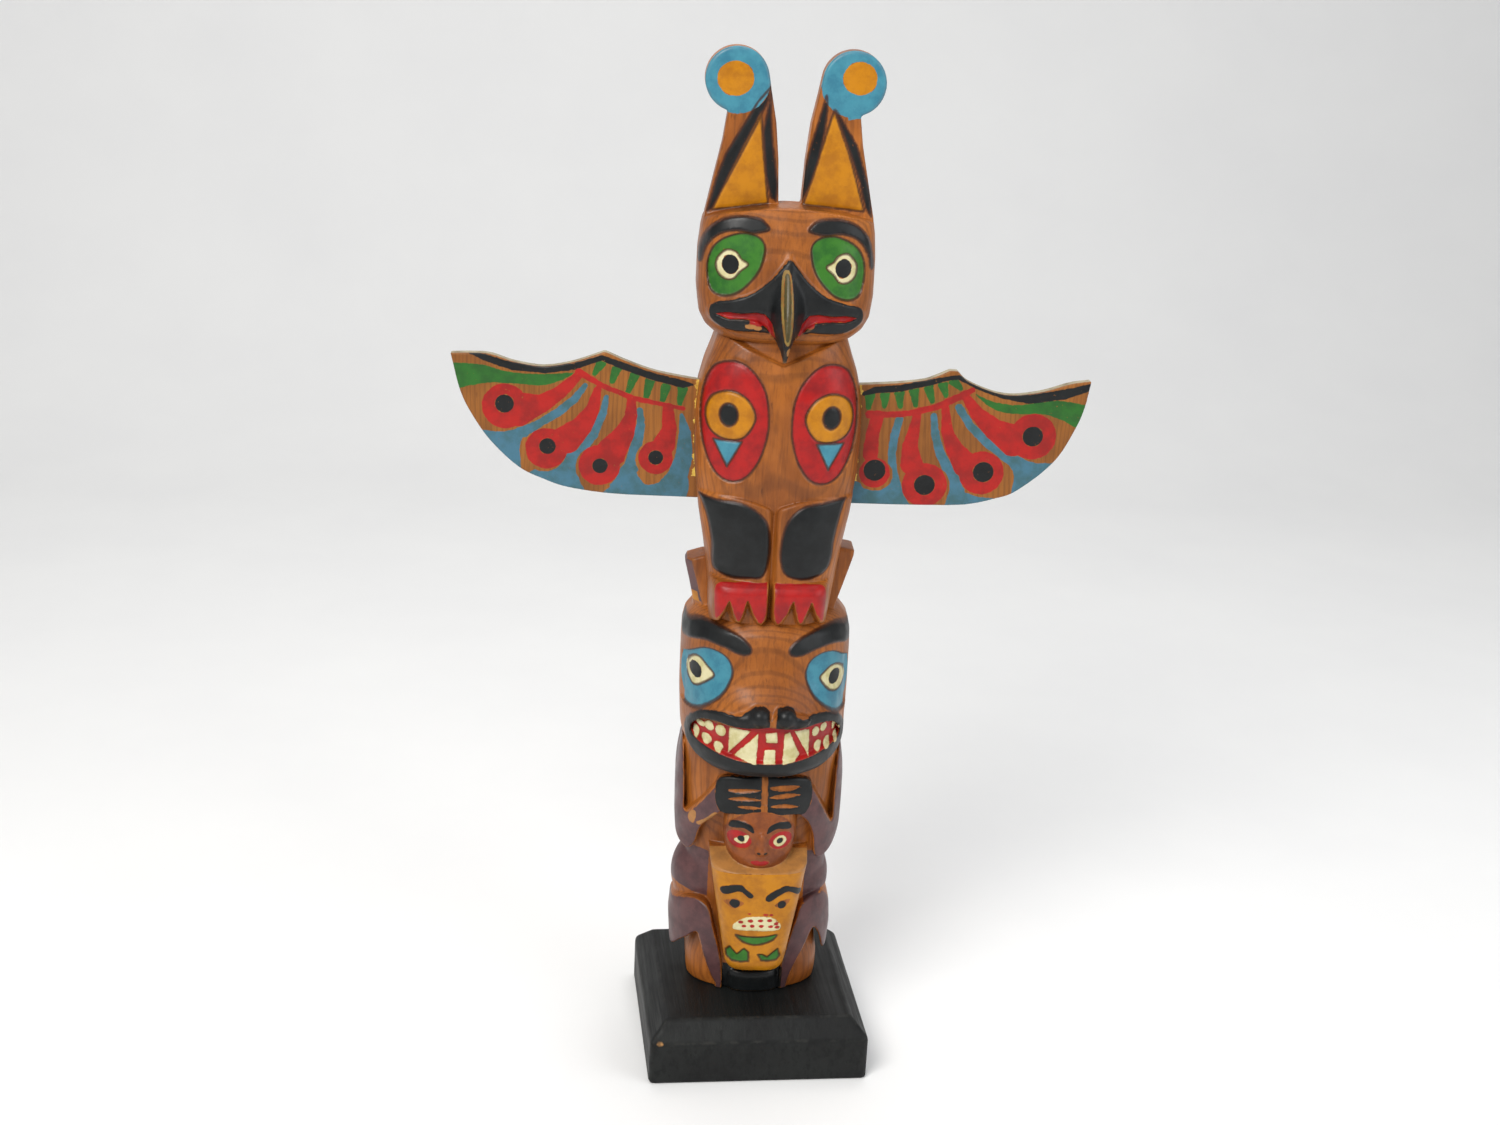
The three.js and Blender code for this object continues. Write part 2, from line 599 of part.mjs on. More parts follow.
function base() {
  const half = BASE_WIDTH / 2;
  const square = (reach) => {
    const c = BASE_CORNER;
    const edge = reach - c;
    return [
      [-edge, -reach], [edge, -reach], [reach, -edge], [reach, edge],
      [edge, reach], [-edge, reach], [-reach, edge], [-reach, -edge],
    ];
  };
  const levels = [
    [half, 0],
    [half, BASE_THICKNESS - BASE_BEVEL_HEIGHT],
    [half - BASE_BEVEL_WIDTH, BASE_THICKNESS],
  ];
  const positions = levels.flatMap(([reach, z]) => square(reach).flatMap(([x, y]) => [x, y, z]));
  const count = square(half).length;
  const index = [];
  for (let r = 0; r + 1 < levels.length; r += 1) {
    for (let i = 0; i < count; i += 1) {
      const a = r * count + i;
      const b = r * count + ((i + 1) % count);
      index.push(a, b, b + count, a, b + count, a + count);
    }
  }
  const last = (levels.length - 1) * count;
  for (let i = 1; i + 1 < count; i += 1) {
    index.push(0, i + 1, i);
    index.push(last, last + i, last + i + 1);
  }
  const geometry = new THREE.BufferGeometry();
  geometry.setAttribute('position', new THREE.Float32BufferAttribute(positions, 3));
  geometry.setIndex(index);
  return geometry;
}

// ---------------------------------------------------------------- materials and scene graph

const cedar = new THREE.MeshStandardMaterial({ color: 0xb06a2d, roughness: 0.5, metalness: 0 });
const charcoal = new THREE.MeshStandardMaterial({ color: 0x2d3030, roughness: 0.7, metalness: 0 });
const wingPaint = new THREE.MeshStandardMaterial({ color: 0xa03028, roughness: 0.55, metalness: 0 });

function piece(name, geometry, material) {
  const mesh = new THREE.Mesh(geometry, material);
  mesh.name = name;
  return mesh;
}

const pole = poleSolid();
const cutter = joined(column(CHEST_LEVELS, CHEST_FORM, FIT_GAP), column(WAIST_LEVELS, WAIST_FORM, FIT_GAP));

const figures = new THREE.Group();
figures.position.x = POLE_OFFSET;
figures.rotation.z = THREE.MathUtils.degToRad(POLE_TURN);
figures.add(piece('pole', geometryOf(pole), cedar));
figures.add(piece('left_wing', geometryOf(wing('left', cutter)), wingPaint));
figures.add(piece('right_wing', geometryOf(wing('right', cutter)), wingPaint));

const group = new THREE.Group();
group.add(piece('base', base(), charcoal));
group.add(figures);

export default group;
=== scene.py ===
"""A carved and painted model totem pole: the looks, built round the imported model.

The pole is sculpted in millimetres as a field of distances in its own frame (x to the right of a
person who looks at it, y to the back, z up), turned into a mesh, and then painted: each colour is
a distance to the edge of its paint, kept on the vertices, and the material draws the edge.
"""
import math

import bpy
import numpy as np
from mathutils import Matrix, Vector


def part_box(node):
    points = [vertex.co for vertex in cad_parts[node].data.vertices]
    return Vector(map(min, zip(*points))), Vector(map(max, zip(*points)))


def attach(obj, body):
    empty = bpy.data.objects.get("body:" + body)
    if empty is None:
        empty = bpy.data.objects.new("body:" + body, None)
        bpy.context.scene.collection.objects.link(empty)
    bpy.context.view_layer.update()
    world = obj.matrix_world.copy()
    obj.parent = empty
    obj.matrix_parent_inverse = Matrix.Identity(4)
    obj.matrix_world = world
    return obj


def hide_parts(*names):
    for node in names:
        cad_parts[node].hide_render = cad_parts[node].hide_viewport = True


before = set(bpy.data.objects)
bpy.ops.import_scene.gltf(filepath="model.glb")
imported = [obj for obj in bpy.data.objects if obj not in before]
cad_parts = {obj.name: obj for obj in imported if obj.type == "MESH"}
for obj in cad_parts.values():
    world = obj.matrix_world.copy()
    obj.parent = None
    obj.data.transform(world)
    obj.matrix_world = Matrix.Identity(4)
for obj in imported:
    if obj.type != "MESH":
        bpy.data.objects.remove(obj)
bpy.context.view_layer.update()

# ---------------------------------------------------------------- driving dimensions, mm

MM = 0.001
POLE_OFFSET = 0.5
POLE_TURN = math.radians(-4)
BASE_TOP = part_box("base")[1].z / MM
BASE_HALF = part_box("base")[1].x / MM
BASE_BEVEL = (6.9, 7.3)
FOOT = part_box("pole")[0].z / MM
BACK = 19.0
BACK_ROUND = 4.0
FAR = 8.0  # a distance beyond every edge that matters

EAR_FRONT, EAR_BACK = -3.0, 6.0
WING_FRONT, WING_BACK = 3.7, 8.3

CELL = 0.58  # of the grid that the figures are sculpted on


# ---------------------------------------------------------------- outlines and distances

def smooth(points, steps=6):
    """A round closed curve through the points."""
    p = np.asarray(points, float)
    before, after, beyond = np.roll(p, 1, 0), np.roll(p, -1, 0), np.roll(p, -2, 0)
    t = (np.arange(steps) / steps)[None, :, None]
    a, b, c, d = (q[:, None, :] for q in (before, p, after, beyond))
    curve = 0.5 * (2 * b + (c - a) * t + (2 * a - 5 * b + 4 * c - d) * t**2 + (3 * b - a - 3 * c + d) * t**3)
    return curve.reshape(-1, 2)


def curve(points, steps=6):
    """A round open curve through the points, from the first to the last."""
    p = np.asarray(points, float)
    ends = np.vstack([2 * p[0] - p[1], p, 2 * p[-1] - p[-2]])
    t = (np.arange(steps) / steps)[None, :, None]
    a, b, c, d = (ends[i:len(ends) - 3 + i][:, None, :] for i in range(4))
    line = 0.5 * (2 * b + (c - a) * t + (2 * a - 5 * b + 4 * c - d) * t**2 + (3 * b - a - 3 * c + d) * t**3)
    return np.vstack([line.reshape(-1, 2), p[-1:]])


def arc(centre, radius, start, end, steps=10):
    """Points on an arc or a stretch of ellipse, angles in degrees."""
    rx, rz = np.broadcast_to(radius, 2)
    angle = np.radians(np.linspace(start, end, steps))
    return np.column_stack([centre[0] + rx * np.cos(angle), centre[1] + rz * np.sin(angle)])


def oval(centre, radius, steps=28):
    return arc(centre, radius, 0, 360 * (1 - 1 / steps), steps)


def mirrored(outline, about=0.0):
    return np.asarray(outline, float) * (-1, 1) + (2 * about, 0)


def both(outline, about=0.0):
    """An outline on the right of the centre line and its mirror image on the left."""
    right = np.asarray(outline, float) + (about, 0)
    return [right, mirrored(right, about)]


def whole(half, about=0.0):
    """A closed outline from its right half, drawn from the centre line round to the centre line."""
    right = np.asarray(half, float)
    return np.vstack([right, mirrored(right)[-2:0:-1]]) + (about, 0)


def distance(outline, x, z):
    """Distance to a closed outline, negative inside it."""
    x, z = np.broadcast_arrays(x, z)
    nearest = np.full(x.shape, np.inf)
    inside = np.zeros(x.shape, bool)
    for (ax, az), (bx, bz) in zip(outline, np.roll(outline, -1, 0)):
        ex, ez = bx - ax, bz - az
        t = np.clip(((x - ax) * ex + (z - az) * ez) / max(ex * ex + ez * ez, 1e-9), 0, 1)
        nearest = np.minimum(nearest, (x - ax - t * ex) ** 2 + (z - az - t * ez) ** 2)
        if bz != az:
            inside ^= ((az <= z) != (bz <= z)) & (x < ax + (z - az) * ex / ez)
    return np.where(inside, -1, 1) * np.sqrt(nearest)


def line_distance(points, x, z):
    """Distance to an open chain of straight stretches."""
    x, z = np.broadcast_arrays(x, z)
    nearest = np.full(x.shape, np.inf)
    for (ax, az), (bx, bz) in zip(points[:-1], points[1:]):
        ex, ez = bx - ax, bz - az
        t = np.clip(((x - ax) * ex + (z - az) * ez) / (ex * ex + ez * ez), 0, 1)
        nearest = np.minimum(nearest, (x - ax - t * ex) ** 2 + (z - az - t * ez) ** 2)
    return np.sqrt(nearest)


def ramp(value, low, high):
    """0 below low, 1 above high, smooth between."""
    t = np.clip((value - low) / (high - low), 0, 1)
    return t * t * (3 - 2 * t)


def soft_min(a, b, r):
    h = np.clip(0.5 + 0.5 * (b - a) / r, 0, 1)
    return b + (a - b) * h - r * h * (1 - h)


def soft_max(a, b, r):
    return -soft_min(-a, -b, r)


# ---------------------------------------------------------------- outlines of the carving

EAR_DISC = ((21.2, 389.0), 11.7)
EAR = np.vstack([
    [(31.6, 336), (31.2, 340.5), (28.6, 353), (25.6, 367), (24.2, 377.2)],
    arc(*EAR_DISC, -72, 172, 26),
    [(8.6, 385), (6.4, 374), (5.0, 361), (4.3, 347), (4.2, 336)],
])
EAR_YELLOW = (
    [(14.2, 379.4), (8.7, 358.3), (4.8, 345.0), (27.4, 343.2), (20.9, 363.2)],
    [(-12.2, 377.8), (-19.0, 363.4), (-28.7, 341.8), (-8.2, 344.9), (-10.9, 365.4)],
)
EAR_OUTER = (
    [
        (14.6, 379.5), (20.8, 364.9), (25.0, 354.5), (27.9, 344.4), (30.2, 341.4), (29.4, 349.4),
        (23.4, 366.8), (16.1, 377.8),
    ],
    [
        (-9.1, 386.7), (-13.7, 381.0), (-24.3, 362.3), (-27.4, 353.4), (-30.3, 341.3), (-28.7, 342.2),
        (-14.1, 372.3), (-10.2, 381.1),
    ],
)
EAR_INNER = (
    [
        (11.2, 384.6), (6.5, 366.1), (4.3, 355.5), (4.0, 346.2), (7.3, 353.0), (9.8, 362.8),
        (11.1, 371.6), (11.8, 379.4),
    ],
    [
        (-8.8, 385.5), (-11.0, 370.7), (-9.3, 355.0), (-7.1, 347.1), (-5.3, 345.8), (-5.0, 351.6),
        (-7.7, 368.2), (-8.6, 376.8),
    ],
)

BIRD_X = -0.8
BIRD_BROW = smooth([
    (7.4, 337.2), (8.4, 339.4), (11.4, 341.2), (17.6, 341.6), (23.4, 340.2), (27.7, 337.2),
    (30.6, 332.6), (32.6, 324), (31.2, 323.6), (29.8, 328.6), (27.4, 332.6), (23.8, 335.4),
    (18.6, 336.6), (13, 336.0),
])
BIRD_SOCKET = smooth([
    (28.8, 319.4), (28.6, 325.4), (26.4, 330.4), (22.2, 333.8), (16.4, 335.6), (11.2, 334.6), (8.6, 331.6),
    (8.9, 326.8), (10.8, 321.6), (14.2, 317.1), (18.2, 313.7), (23, 312.3), (27.2, 313.8),
])
BIRD_EYE = smooth([
    (14.3, 324.4), (16.8, 326.2), (18.8, 328.6), (22, 329.2), (24.4, 327.2), (25.8, 324.6),
    (25.4, 321.2), (23, 318.8), (19.6, 318.8), (17.2, 321.6),
])
BIRD_PUPIL = oval((20.7, 324.0), (3.1, 3.6))
BILL_TOP = smooth(whole([
    (0, 327.2), (2.8, 324.4), (6.2, 320.2), (10.2, 316.4), (14.8, 313.4), (20.6, 311.4), (26, 309.9),
    (28.8, 307.4), (28.9, 304.6), (26.8, 302.3), (23, 300.4), (18, 299.6), (12, 299.9), (7, 300.1),
    (4.2, 298.6), (0, 297.6),
]), 4)
BILL_SLIT = [
    (26.0, 305.6), (22, 306.5), (16.5, 306.4), (11.5, 307.1), (8.2, 306.6), (5.6, 303.6), (4.2, 298.6),
    (5.2, 298.6), (7.4, 301.6), (10.6, 304.0), (16, 304.6), (21.6, 304.2),
]

CHEST_X = -0.4
CHEST_EGG = smooth([
    (4.4, 266), (5.4, 275), (8.8, 282), (14, 286.6), (19.6, 287.3), (25.2, 284.3), (28.6, 276), (29.4, 264),
    (27.4, 252.6), (23.4, 245), (18.2, 242.0), (12.4, 243.6), (7.6, 250.2), (5.0, 258.6),
])
CHEST_EYE = smooth([
    (9.4, 266.4), (11.2, 272.4), (15.4, 275.9), (20.6, 276.6), (25.8, 273.6), (27.8, 267.4),
    (26, 261.2), (20.4, 258.3), (13.6, 259.4),
])
CHEST_PUPIL = oval((19.3, 267.8), (3.4, 4.3))
CHEST_TEAR = [(14.0, 257.8), (24.6, 257.6), (19.1, 247.6)]
NECK_V = [(-21.6, 296.6), (0, 286.8), (22.4, 297.4), (22.4, 302), (-21.6, 302)]

LEG_TOP = whole([
    (0, 231.4), (2.8, 232.8), (7.8, 234.6), (14.6, 236.0), (23, 236.3), (29.5, 236.2), (33, 235.4),
    (33, 178), (0, 178),
], -1)
LEG_PANELS = (
    smooth([
        (25.9, 235.6), (17.2, 234.6), (11.0, 233.7), (6.7, 230.9), (3.8, 226.4), (2.4, 220.0),
        (2.3, 212.5), (4.4, 206.9), (9.0, 204.9), (14.5, 204.8), (20.0, 207.2), (22.0, 211.7),
        (22.6, 219.4), (24.1, 227.7), (25.6, 233.6),
    ]),
    smooth([
        (-28.8, 234.6), (-22.2, 234.3), (-14.5, 234.2), (-8.3, 231.8), (-3.7, 227.1), (-2.0, 219.8),
        (-2.1, 212.4), (-4.4, 205.7), (-9.6, 204.7), (-16.5, 204.3), (-20.9, 205.4), (-23.2, 207.7),
        (-23.9, 217.4), (-25.8, 226.4), (-28.1, 232.4),
    ]),
)
LEG_GROOVE_X = -0.9
TOES = [
    (0.6, 207), (23.4, 207), (23.0, 203), (22.5, 189.4), (22.0, 188.2), (20.0, 188.2), (17.8, 191.6),
    (15.7, 196.6), (13.9, 191.4), (12.7, 188.4), (11.7, 187.6), (10.7, 189.4), (8.7, 197.0),
    (6.5, 191.4), (4.4, 187.8), (3.2, 187.0), (2.0, 188.6), (1.2, 192), (0.6, 200),
]

BEAR_EARS = (
    [
        (-22, 180), (-29.1, 184), (-30.1, 190), (-31.4, 196), (-33.2, 203.4), (-32.3, 205.2),
        (-26.6, 207), (-20, 207.4), (-20, 180),
    ],
    [(20, 180), (24.9, 184), (29, 197.6), (32.2, 208.6), (32.4, 211.2), (26, 212.4), (18, 212.6), (18, 180)],
)
BEAR_BROW = smooth([
    (7.2, 176.7), (8.6, 179.2), (12, 181.6), (18.4, 183.6), (25.4, 184.2), (30.4, 182.2), (36, 178.6),
    (36, 172.8), (31, 175.2), (25.2, 177.4), (18, 176.8), (12.8, 175.2), (9, 175.0),
])
BEAR_SOCKET = smooth([
    (36, 160), (33.4, 166.2), (26.6, 172.9), (21.2, 174.3), (16.4, 172.5), (14.2, 168.4), (14.9, 163.8),
    (17.8, 158.6), (22.9, 153.4), (28.2, 149.0), (33, 147.6), (36, 151),
])
BEAR_EYES = (
    smooth([
        (20.2, 164.5), (22.0, 166.3), (24.6, 167.6), (27.6, 167.1), (30.4, 164.0), (31.3, 159.6),
        (29.6, 157.3), (26.0, 157.7), (22.6, 160.6),
    ]),
    smooth([
        (-21.0, 164.3), (-23.9, 167.1), (-26.5, 169.0), (-28.9, 168.2), (-30.8, 164.9), (-31.1, 161.2),
        (-30.2, 158.6), (-28.2, 157.4), (-24.1, 160.8),
    ]),
)
BEAR_PUPILS = (oval((26.3, 163.0), (2.5, 2.9)), oval((-27.9, 163.4), (2.3, 3.1)))
NOSE_X = 1.65
NOSTRIL = (4.85, -31.4, 152.8)
LIPS = smooth(whole([
    (0, 151.2), (2.6, 156.2), (5.6, 156.9), (8.8, 154.6), (12.8, 152.6), (19.2, 152.9), (25.2, 150.9),
    (29.2, 147), (31.6, 141.0), (31.4, 135.4), (29, 131), (22, 127.4), (12, 125.4), (0, 124.8),
], 0.4), 4)
MOUTH = smooth(whole([
    (0, 148.9), (6, 148.2), (13, 147.7), (20, 148.2), (25.6, 146.5), (28.8, 142), (28.8, 138.8),
    (25.8, 137.8), (19, 136.2), (11, 134.8), (0, 134.2),
], 0.2), 4)
GUMS = smooth([
    (0, 148.6), (6, 148.2), (13, 147.7), (20, 148.2), (25.8, 146.5), (29.2, 142), (29.2, 138.6),
    (26, 137.3), (19, 135.6), (11, 134.3), (0, 133.7), (-11, 134.3), (-19, 135.6), (-26, 137.3),
    (-28.6, 138.8), (-27.8, 142.2), (-25, 145.2), (-20, 146.6), (-14, 147.3), (-6, 147.8),
], 4)
TOOTH_DOTS = (
    [
        (-25.4, 143.9, 1.7, 1.3), (-22.2, 144.5, 1.8, 2.0), (-17.9, 144.3, 2.0, 2.4),
        (-26.8, 139.8, 1.2, 2.0), (-22.9, 138.9, 1.9, 1.9), (-18.4, 137.6, 1.8, 1.9),
    ]
    + [
        (19.1, 144.4, 1.5, 2.0), (22.4, 145.0, 1.4, 1.8), (26.9, 143.4, 0.8, 1.9),
        (29.0, 142.2, 0.5, 1.2), (20.2, 138.3, 1.5, 2.1), (24.0, 138.2, 1.3, 2.0),
        (27.8, 138.6, 0.8, 1.8),
    ]
)
FANGS = (
    [(-14.6, 147.0), (-6.6, 146.6), (-14.6, 136.2)], [(-12.4, 135.6), (-3.6, 146.0), (-4.0, 133.3)],
    [(6.6, 145.6), (8.6, 146.2), (13.0, 136.2), (10.8, 134.4), (6.3, 133.6)],
    [(10.4, 146.6), (16.4, 146.2), (16.6, 135.0)],
    [(-0.8, 146.1), (3.6, 146.3), (3.9, 142.0), (-0.4, 142.2)],
    [(-1.2, 133.8), (-0.9, 138.9), (3.2, 139.2), (3.4, 134.0)],
)

ARMS = (
    smooth([
        (31.6, 133), (33.8, 125), (34.6, 112), (34.4, 98), (31.4, 88.2), (27.8, 83.9), (24.6, 83.2),
        (22.4, 86.4), (21.2, 95.8), (18.4, 103), (15, 107), (14.6, 112), (15, 118.6), (19.4, 118.9),
        (24.2, 109.8), (28.4, 100.6), (29.4, 100.8), (29.4, 110), (29.8, 121),
    ], 5),
    smooth([
        (-31.6, 133), (-34.6, 125), (-36, 112), (-36, 98), (-33.9, 89.6), (-30.8, 85.7), (-27.6, 85.6),
        (-25.2, 89.8), (-23.2, 98.2), (-17, 106.3), (-14, 109), (-14, 112), (-14, 119.4), (-17.8, 119.4),
        (-22.8, 112), (-27.8, 104.4), (-29.9, 102.6), (-30.2, 108), (-30.6, 121),
    ], 5),
)
ARM_BACK = 13.0
PAW = smooth([
    (-0.4, 108.2), (8, 107.7), (15.4, 106.9), (18.2, 109.6), (19.3, 115), (18.3, 120.8), (14.4, 122.9),
    (7, 123.2), (-0.4, 122.9),
])
PAW_X = 0.6
FINGERS = (
    [(2.0, 119.4), (8.5, 120.3), (14.6, 119.4), (8.6, 117.9)],
    [(2.4, 115.4), (9, 117.0), (15, 116.0), (9, 114.9)],
    [(2.4, 111.6), (8.9, 112.4), (14.6, 110.7), (9, 110.6)],
    [(-0.4, 118.3), (-7, 118.6), (-13.6, 117.6), (-9.8, 116.6)],
    [(-0.4, 114.3), (-8, 115.3), (-13.6, 113.7), (-8, 113.5)],
    [(-0.4, 110.9), (-5, 111.6), (-10.6, 110.7), (-5, 110.2)],
)
PARTING = [(-0.5, 107), (-0.6, 124), (1.7, 124), (2.2, 107)]

LEGS_BENT = (
    smooth([
        (18.4, 64.0), (24, 66.2), (28.4, 65.4), (31.4, 60), (33, 54), (33, 46), (31, 38.6), (29, 39.4),
        (27.2, 46.6), (25.2, 51.4), (23.6, 51.8), (20.8, 45), (17.4, 37.4), (14.8, 29), (13.8, 21),
        (11.2, 21), (10.8, 30), (11.4, 38), (12.8, 45.4), (14.8, 53), (16.6, 59),
    ], 4),
    smooth([
        (-36.6, 31.5), (-37.4, 44), (-36.6, 53), (-34.8, 58.8), (-31, 62.6), (-26.5, 64.6),
        (-22.4, 64.8), (-18.6, 62), (-16.6, 54), (-14.6, 47), (-13.0, 39), (-12.3, 31.8), (-12.2, 27.4),
        (-12.2, 21), (-14.6, 21), (-15.2, 27.8), (-17.2, 31.8), (-20, 39.8), (-22.2, 47.6),
        (-23.6, 50.8), (-27, 47.0), (-31, 41.6), (-34.2, 34.8),
    ], 4),
)
KNEE_BACK = 12.0

HUMAN_BROW = smooth([
    (2.4, 100.6), (3.4, 103.6), (7.2, 105.2), (11.2, 104.6), (12.6, 101.6), (9.6, 101.9), (6.6, 102.4),
    (4.0, 101.2),
])
HUMAN_PATCH = smooth([
    (3.3, 97.2), (5.2, 100.0), (8.8, 100.9), (12.0, 99.6), (12.9, 96.8), (11.2, 94.3), (7.8, 93.6),
    (4.8, 94.7),
])
HUMAN_EYE = [
    smooth([(-10.6, 96.6), (-7.8, 98.6), (-4.9, 99.4), (-5.6, 96.6), (-8.2, 95.6)]),
    oval((7.7, 96.9), (2.6, 2.2)),
]
HUMAN_PUPIL = [oval((-7.7, 97.7), (1.5, 1.3)), oval((7.6, 97.1), (1.35, 1.25))]
HUMAN_MOUTH = smooth([
    (-4.0, 88.6), (-1.6, 89.6), (0.2, 89.2), (2.0, 89.6), (3.8, 88.7), (2.2, 87.3), (-1.8, 87.2),
])

COPPER_BROWS = (
    smooth([
        (-15.4, 76.6), (-14.3, 78), (-10.9, 79.3), (-6.9, 79.6), (-4.8, 77.6), (-2.0, 75.3),
        (-2.4, 73.9), (-3.9, 73.9), (-7.5, 76.6), (-12.5, 74.8), (-14.6, 74.9),
    ], 4),
    smooth([
        (2.9, 73.1), (3.4, 75.2), (6.8, 77.6), (10.0, 79.2), (12.4, 79.0), (16.5, 77.0), (17.3, 75.0),
        (16.2, 73.9), (12.0, 76.5), (8.3, 74.9), (4.6, 72.3),
    ], 4),
)
COPPER_EYES = (oval((-9.3, 71.0), (2.1, 2.0)), oval((9.5, 70.9), (1.8, 1.8)))
COPPER_LIDS = (
    smooth([
        (-13.8, 71.1), (-11.6, 72.6), (-9.2, 73.4), (-7.2, 72.6), (-5.6, 71.3), (-7.5, 69.6),
        (-9.5, 68.6), (-11.4, 69.5),
    ], 4),
    smooth([
        (6.6, 70.6), (8.5, 72.3), (10.3, 72.9), (13.0, 73.0), (12.0, 71.3), (10.9, 70.1), (9.4, 69.0),
        (7.9, 69.8),
    ], 4),
)
COPPER_BAND = smooth([
    (-9.7, 59.9), (-8.7, 62.2), (-5.8, 64.5), (-2.8, 65.3), (1.8, 65.6), (6.1, 65.1), (8.7, 62.8),
    (9.6, 60.2), (7.7, 59.3), (-0.7, 59.2), (-7.6, 59.3),
], 4)
COPPER_SPOTS = [
    (-6.6, 63.0), (-2.7, 63.7), (1.2, 63.8), (4.9, 64.0), (7.7, 62.6), (-5.2, 61.3), (-1.9, 61.4),
    (1.8, 61.5), (5.5, 61.2), (8.0, 60.9),
]
COPPER_MOUTH = smooth([
    (-8.3, 56.9), (-5.2, 56.3), (-0.4, 56.1), (4.1, 56.4), (8.3, 57.1), (6.8, 54.8), (3.4, 53.2),
    (-0.3, 52.5), (-4.1, 53.3), (-6.6, 54.8),
], 4)
COPPER_LEAVES = (
    [
        (-11.8, 48.6), (-10.3, 51.0), (-9.3, 49.8), (-7.4, 48.0), (-5.4, 50.2), (-4.6, 50.8),
        (-2.8, 49.2), (-2.6, 45.0), (-5.4, 44.6), (-9.3, 44.5), (-11.5, 45.6),
    ],
    [
        (1.0, 48.2), (2.8, 48.2), (4.8, 47.0), (6.8, 48.9), (8.9, 50.5), (10.0, 46.8), (8.6, 45.3),
        (5.4, 45.1), (2.6, 45.3),
    ],
)

# ---------------------------------------------------------------- levels: z, half width, front y

HEAD = [
    (294.2, 20, -11), (296, 25.4, -14.4), (299.5, 29.6, -16.4), (304, 32.0, -17.2), (312, 33.0, -17.4),
    (326, 32.9, -16.9), (335, 32.2, -15.8), (341, 31.2, -14.0), (347, 30.0, -11.0),
]
CHEST = [
    (224, 27.4, -15.2), (234, 30.0, -17), (244, 31.2, -17.8), (256, 31.7, -18.1), (266, 31.5, -18.1),
    (275, 30.7, -17.8), (283, 28.7, -16.8), (290, 26.2, -15), (298, 23.6, -12.6),
]
WAIST = [(178, 21, -13.2), (196, 23.6, -14), (214, 25.8, -14.4), (232, 28.6, -15.2)]
LEGS = [
    (181, 22.4, -17.4), (192, 23.6, -18.6), (204, 25.2, -19.5), (216, 27.0, -19.9), (228, 29.2, -19.6),
    (238, 30.4, -18.4),
]
FEET = [
    (182, 22.4, -19.8), (188, 23.2, -21.8), (195, 23.5, -22.8), (199.6, 23.6, -22.8),
    (201.6, 23.6, -21.8), (203.0, 23.4, -19.6),
]
BEAR = [
    (124.0, 14, -13), (124.8, 23, -22), (126.8, 29, -28.4), (130, 31.2, -30.8), (135, 32.6, -31.8),
    (140, 32.9, -31.8), (147, 33.3, -32.0), (152, 33.4, -32.2), (157, 33.4, -30.2), (163, 33.4, -26.8),
    (170, 33.4, -24.6), (177, 33.2, -23.4), (182, 31.9, -21.8), (186, 28.6, -18.4), (189, 22.0, -12.6),
]
TRUNK = [
    (20, 25.4, -14.2), (30, 26.9, -15.6), (37, 27.0, -15.2), (46, 25.6, -13.8), (62, 26.8, -12.6),
    (82, 28.6, -12.4), (94, 29.4, -13.4), (101, 29.9, -15.6), (107, 30.3, -18.2), (114, 30.6, -19.4),
    (132, 30.6, -19.6),
]
LIMBS = [
    (20, 29, -16.4), (26, 30, -16.8), (32, 31, -18), (40, 32.6, -19.6), (50, 33.3, -20.6),
    (60, 32.6, -20.6), (66, 31, -19), (78, 31, -17.6), (84, 32.6, -18), (94, 33.5, -20.4),
    (105, 33.7, -23.4), (116, 33.7, -24), (122, 33.3, -23.2), (132, 31.8, -20),
]
HUMAN = [
    (82, 5, -19), (83.6, 8.4, -23.4), (86.6, 11.4, -25.8), (90.5, 13.4, -26.4), (96, 14.3, -26.2),
    (102, 14.5, -25.2), (112, 14.2, -23.6),
]
COPPER = [
    (38.4, 8, -22.4), (39.8, 10.4, -25.6), (42.4, 11.9, -27.2), (48, 12.9, -27.6), (58, 14.6, -27.9),
    (72, 17, -28.3), (90, 19.9, -28.7),
]
BEAK = [  # z, ridge y, half width
    (290.6, -27.8, 0.9), (293, -29.2, 2.2), (295.5, -29.9, 3.4), (299, -29.9, 5.0), (303, -29.2, 7.2),
    (308, -27.6, 9.4), (314, -25.0, 9.2), (320, -22.0, 6.8), (325, -19.0, 3.9), (328.5, -16.9, 1.6),
]
BEAK_UNDER = [(290.2, -27.4), (291.6, -26.6), (294.4, -24.6), (297, -19.5), (299, -14), (304, -10)]


# ---------------------------------------------------------------- the field

def axis(low, high, step):
    return np.linspace(low, high, int(round((high - low) / step)) + 1)


class Window:
    """A block of grid points between two heights."""

    def __init__(self, xs, ys, zs):
        self.x, self.y, self.z = xs[:, None, None], ys[None, :, None], zs[None, None, :]
        self.xs, self.zs = xs, zs

    def flat(self, outline):
        """Distance to an (x, z) outline, the same at every depth."""
        return distance(outline, self.xs[:, None], self.zs[None, :])[:, None, :]

    def line(self, points):
        return line_distance(points, self.xs[:, None], self.zs[None, :])[:, None, :]


def along(levels, z, column):
    """One column of a table of levels at heights z, rounded between the levels."""
    table = np.asarray(levels, float)
    fine = np.linspace(table[0, 0], table[-1, 0], 400)
    values = np.interp(fine, table[:, 0], table[:, column])
    blur = np.hanning(21)
    padded = np.pad(values, 10, mode="edge")
    return np.interp(z, fine, np.convolve(padded, blur / blur.sum(), mode="valid"))


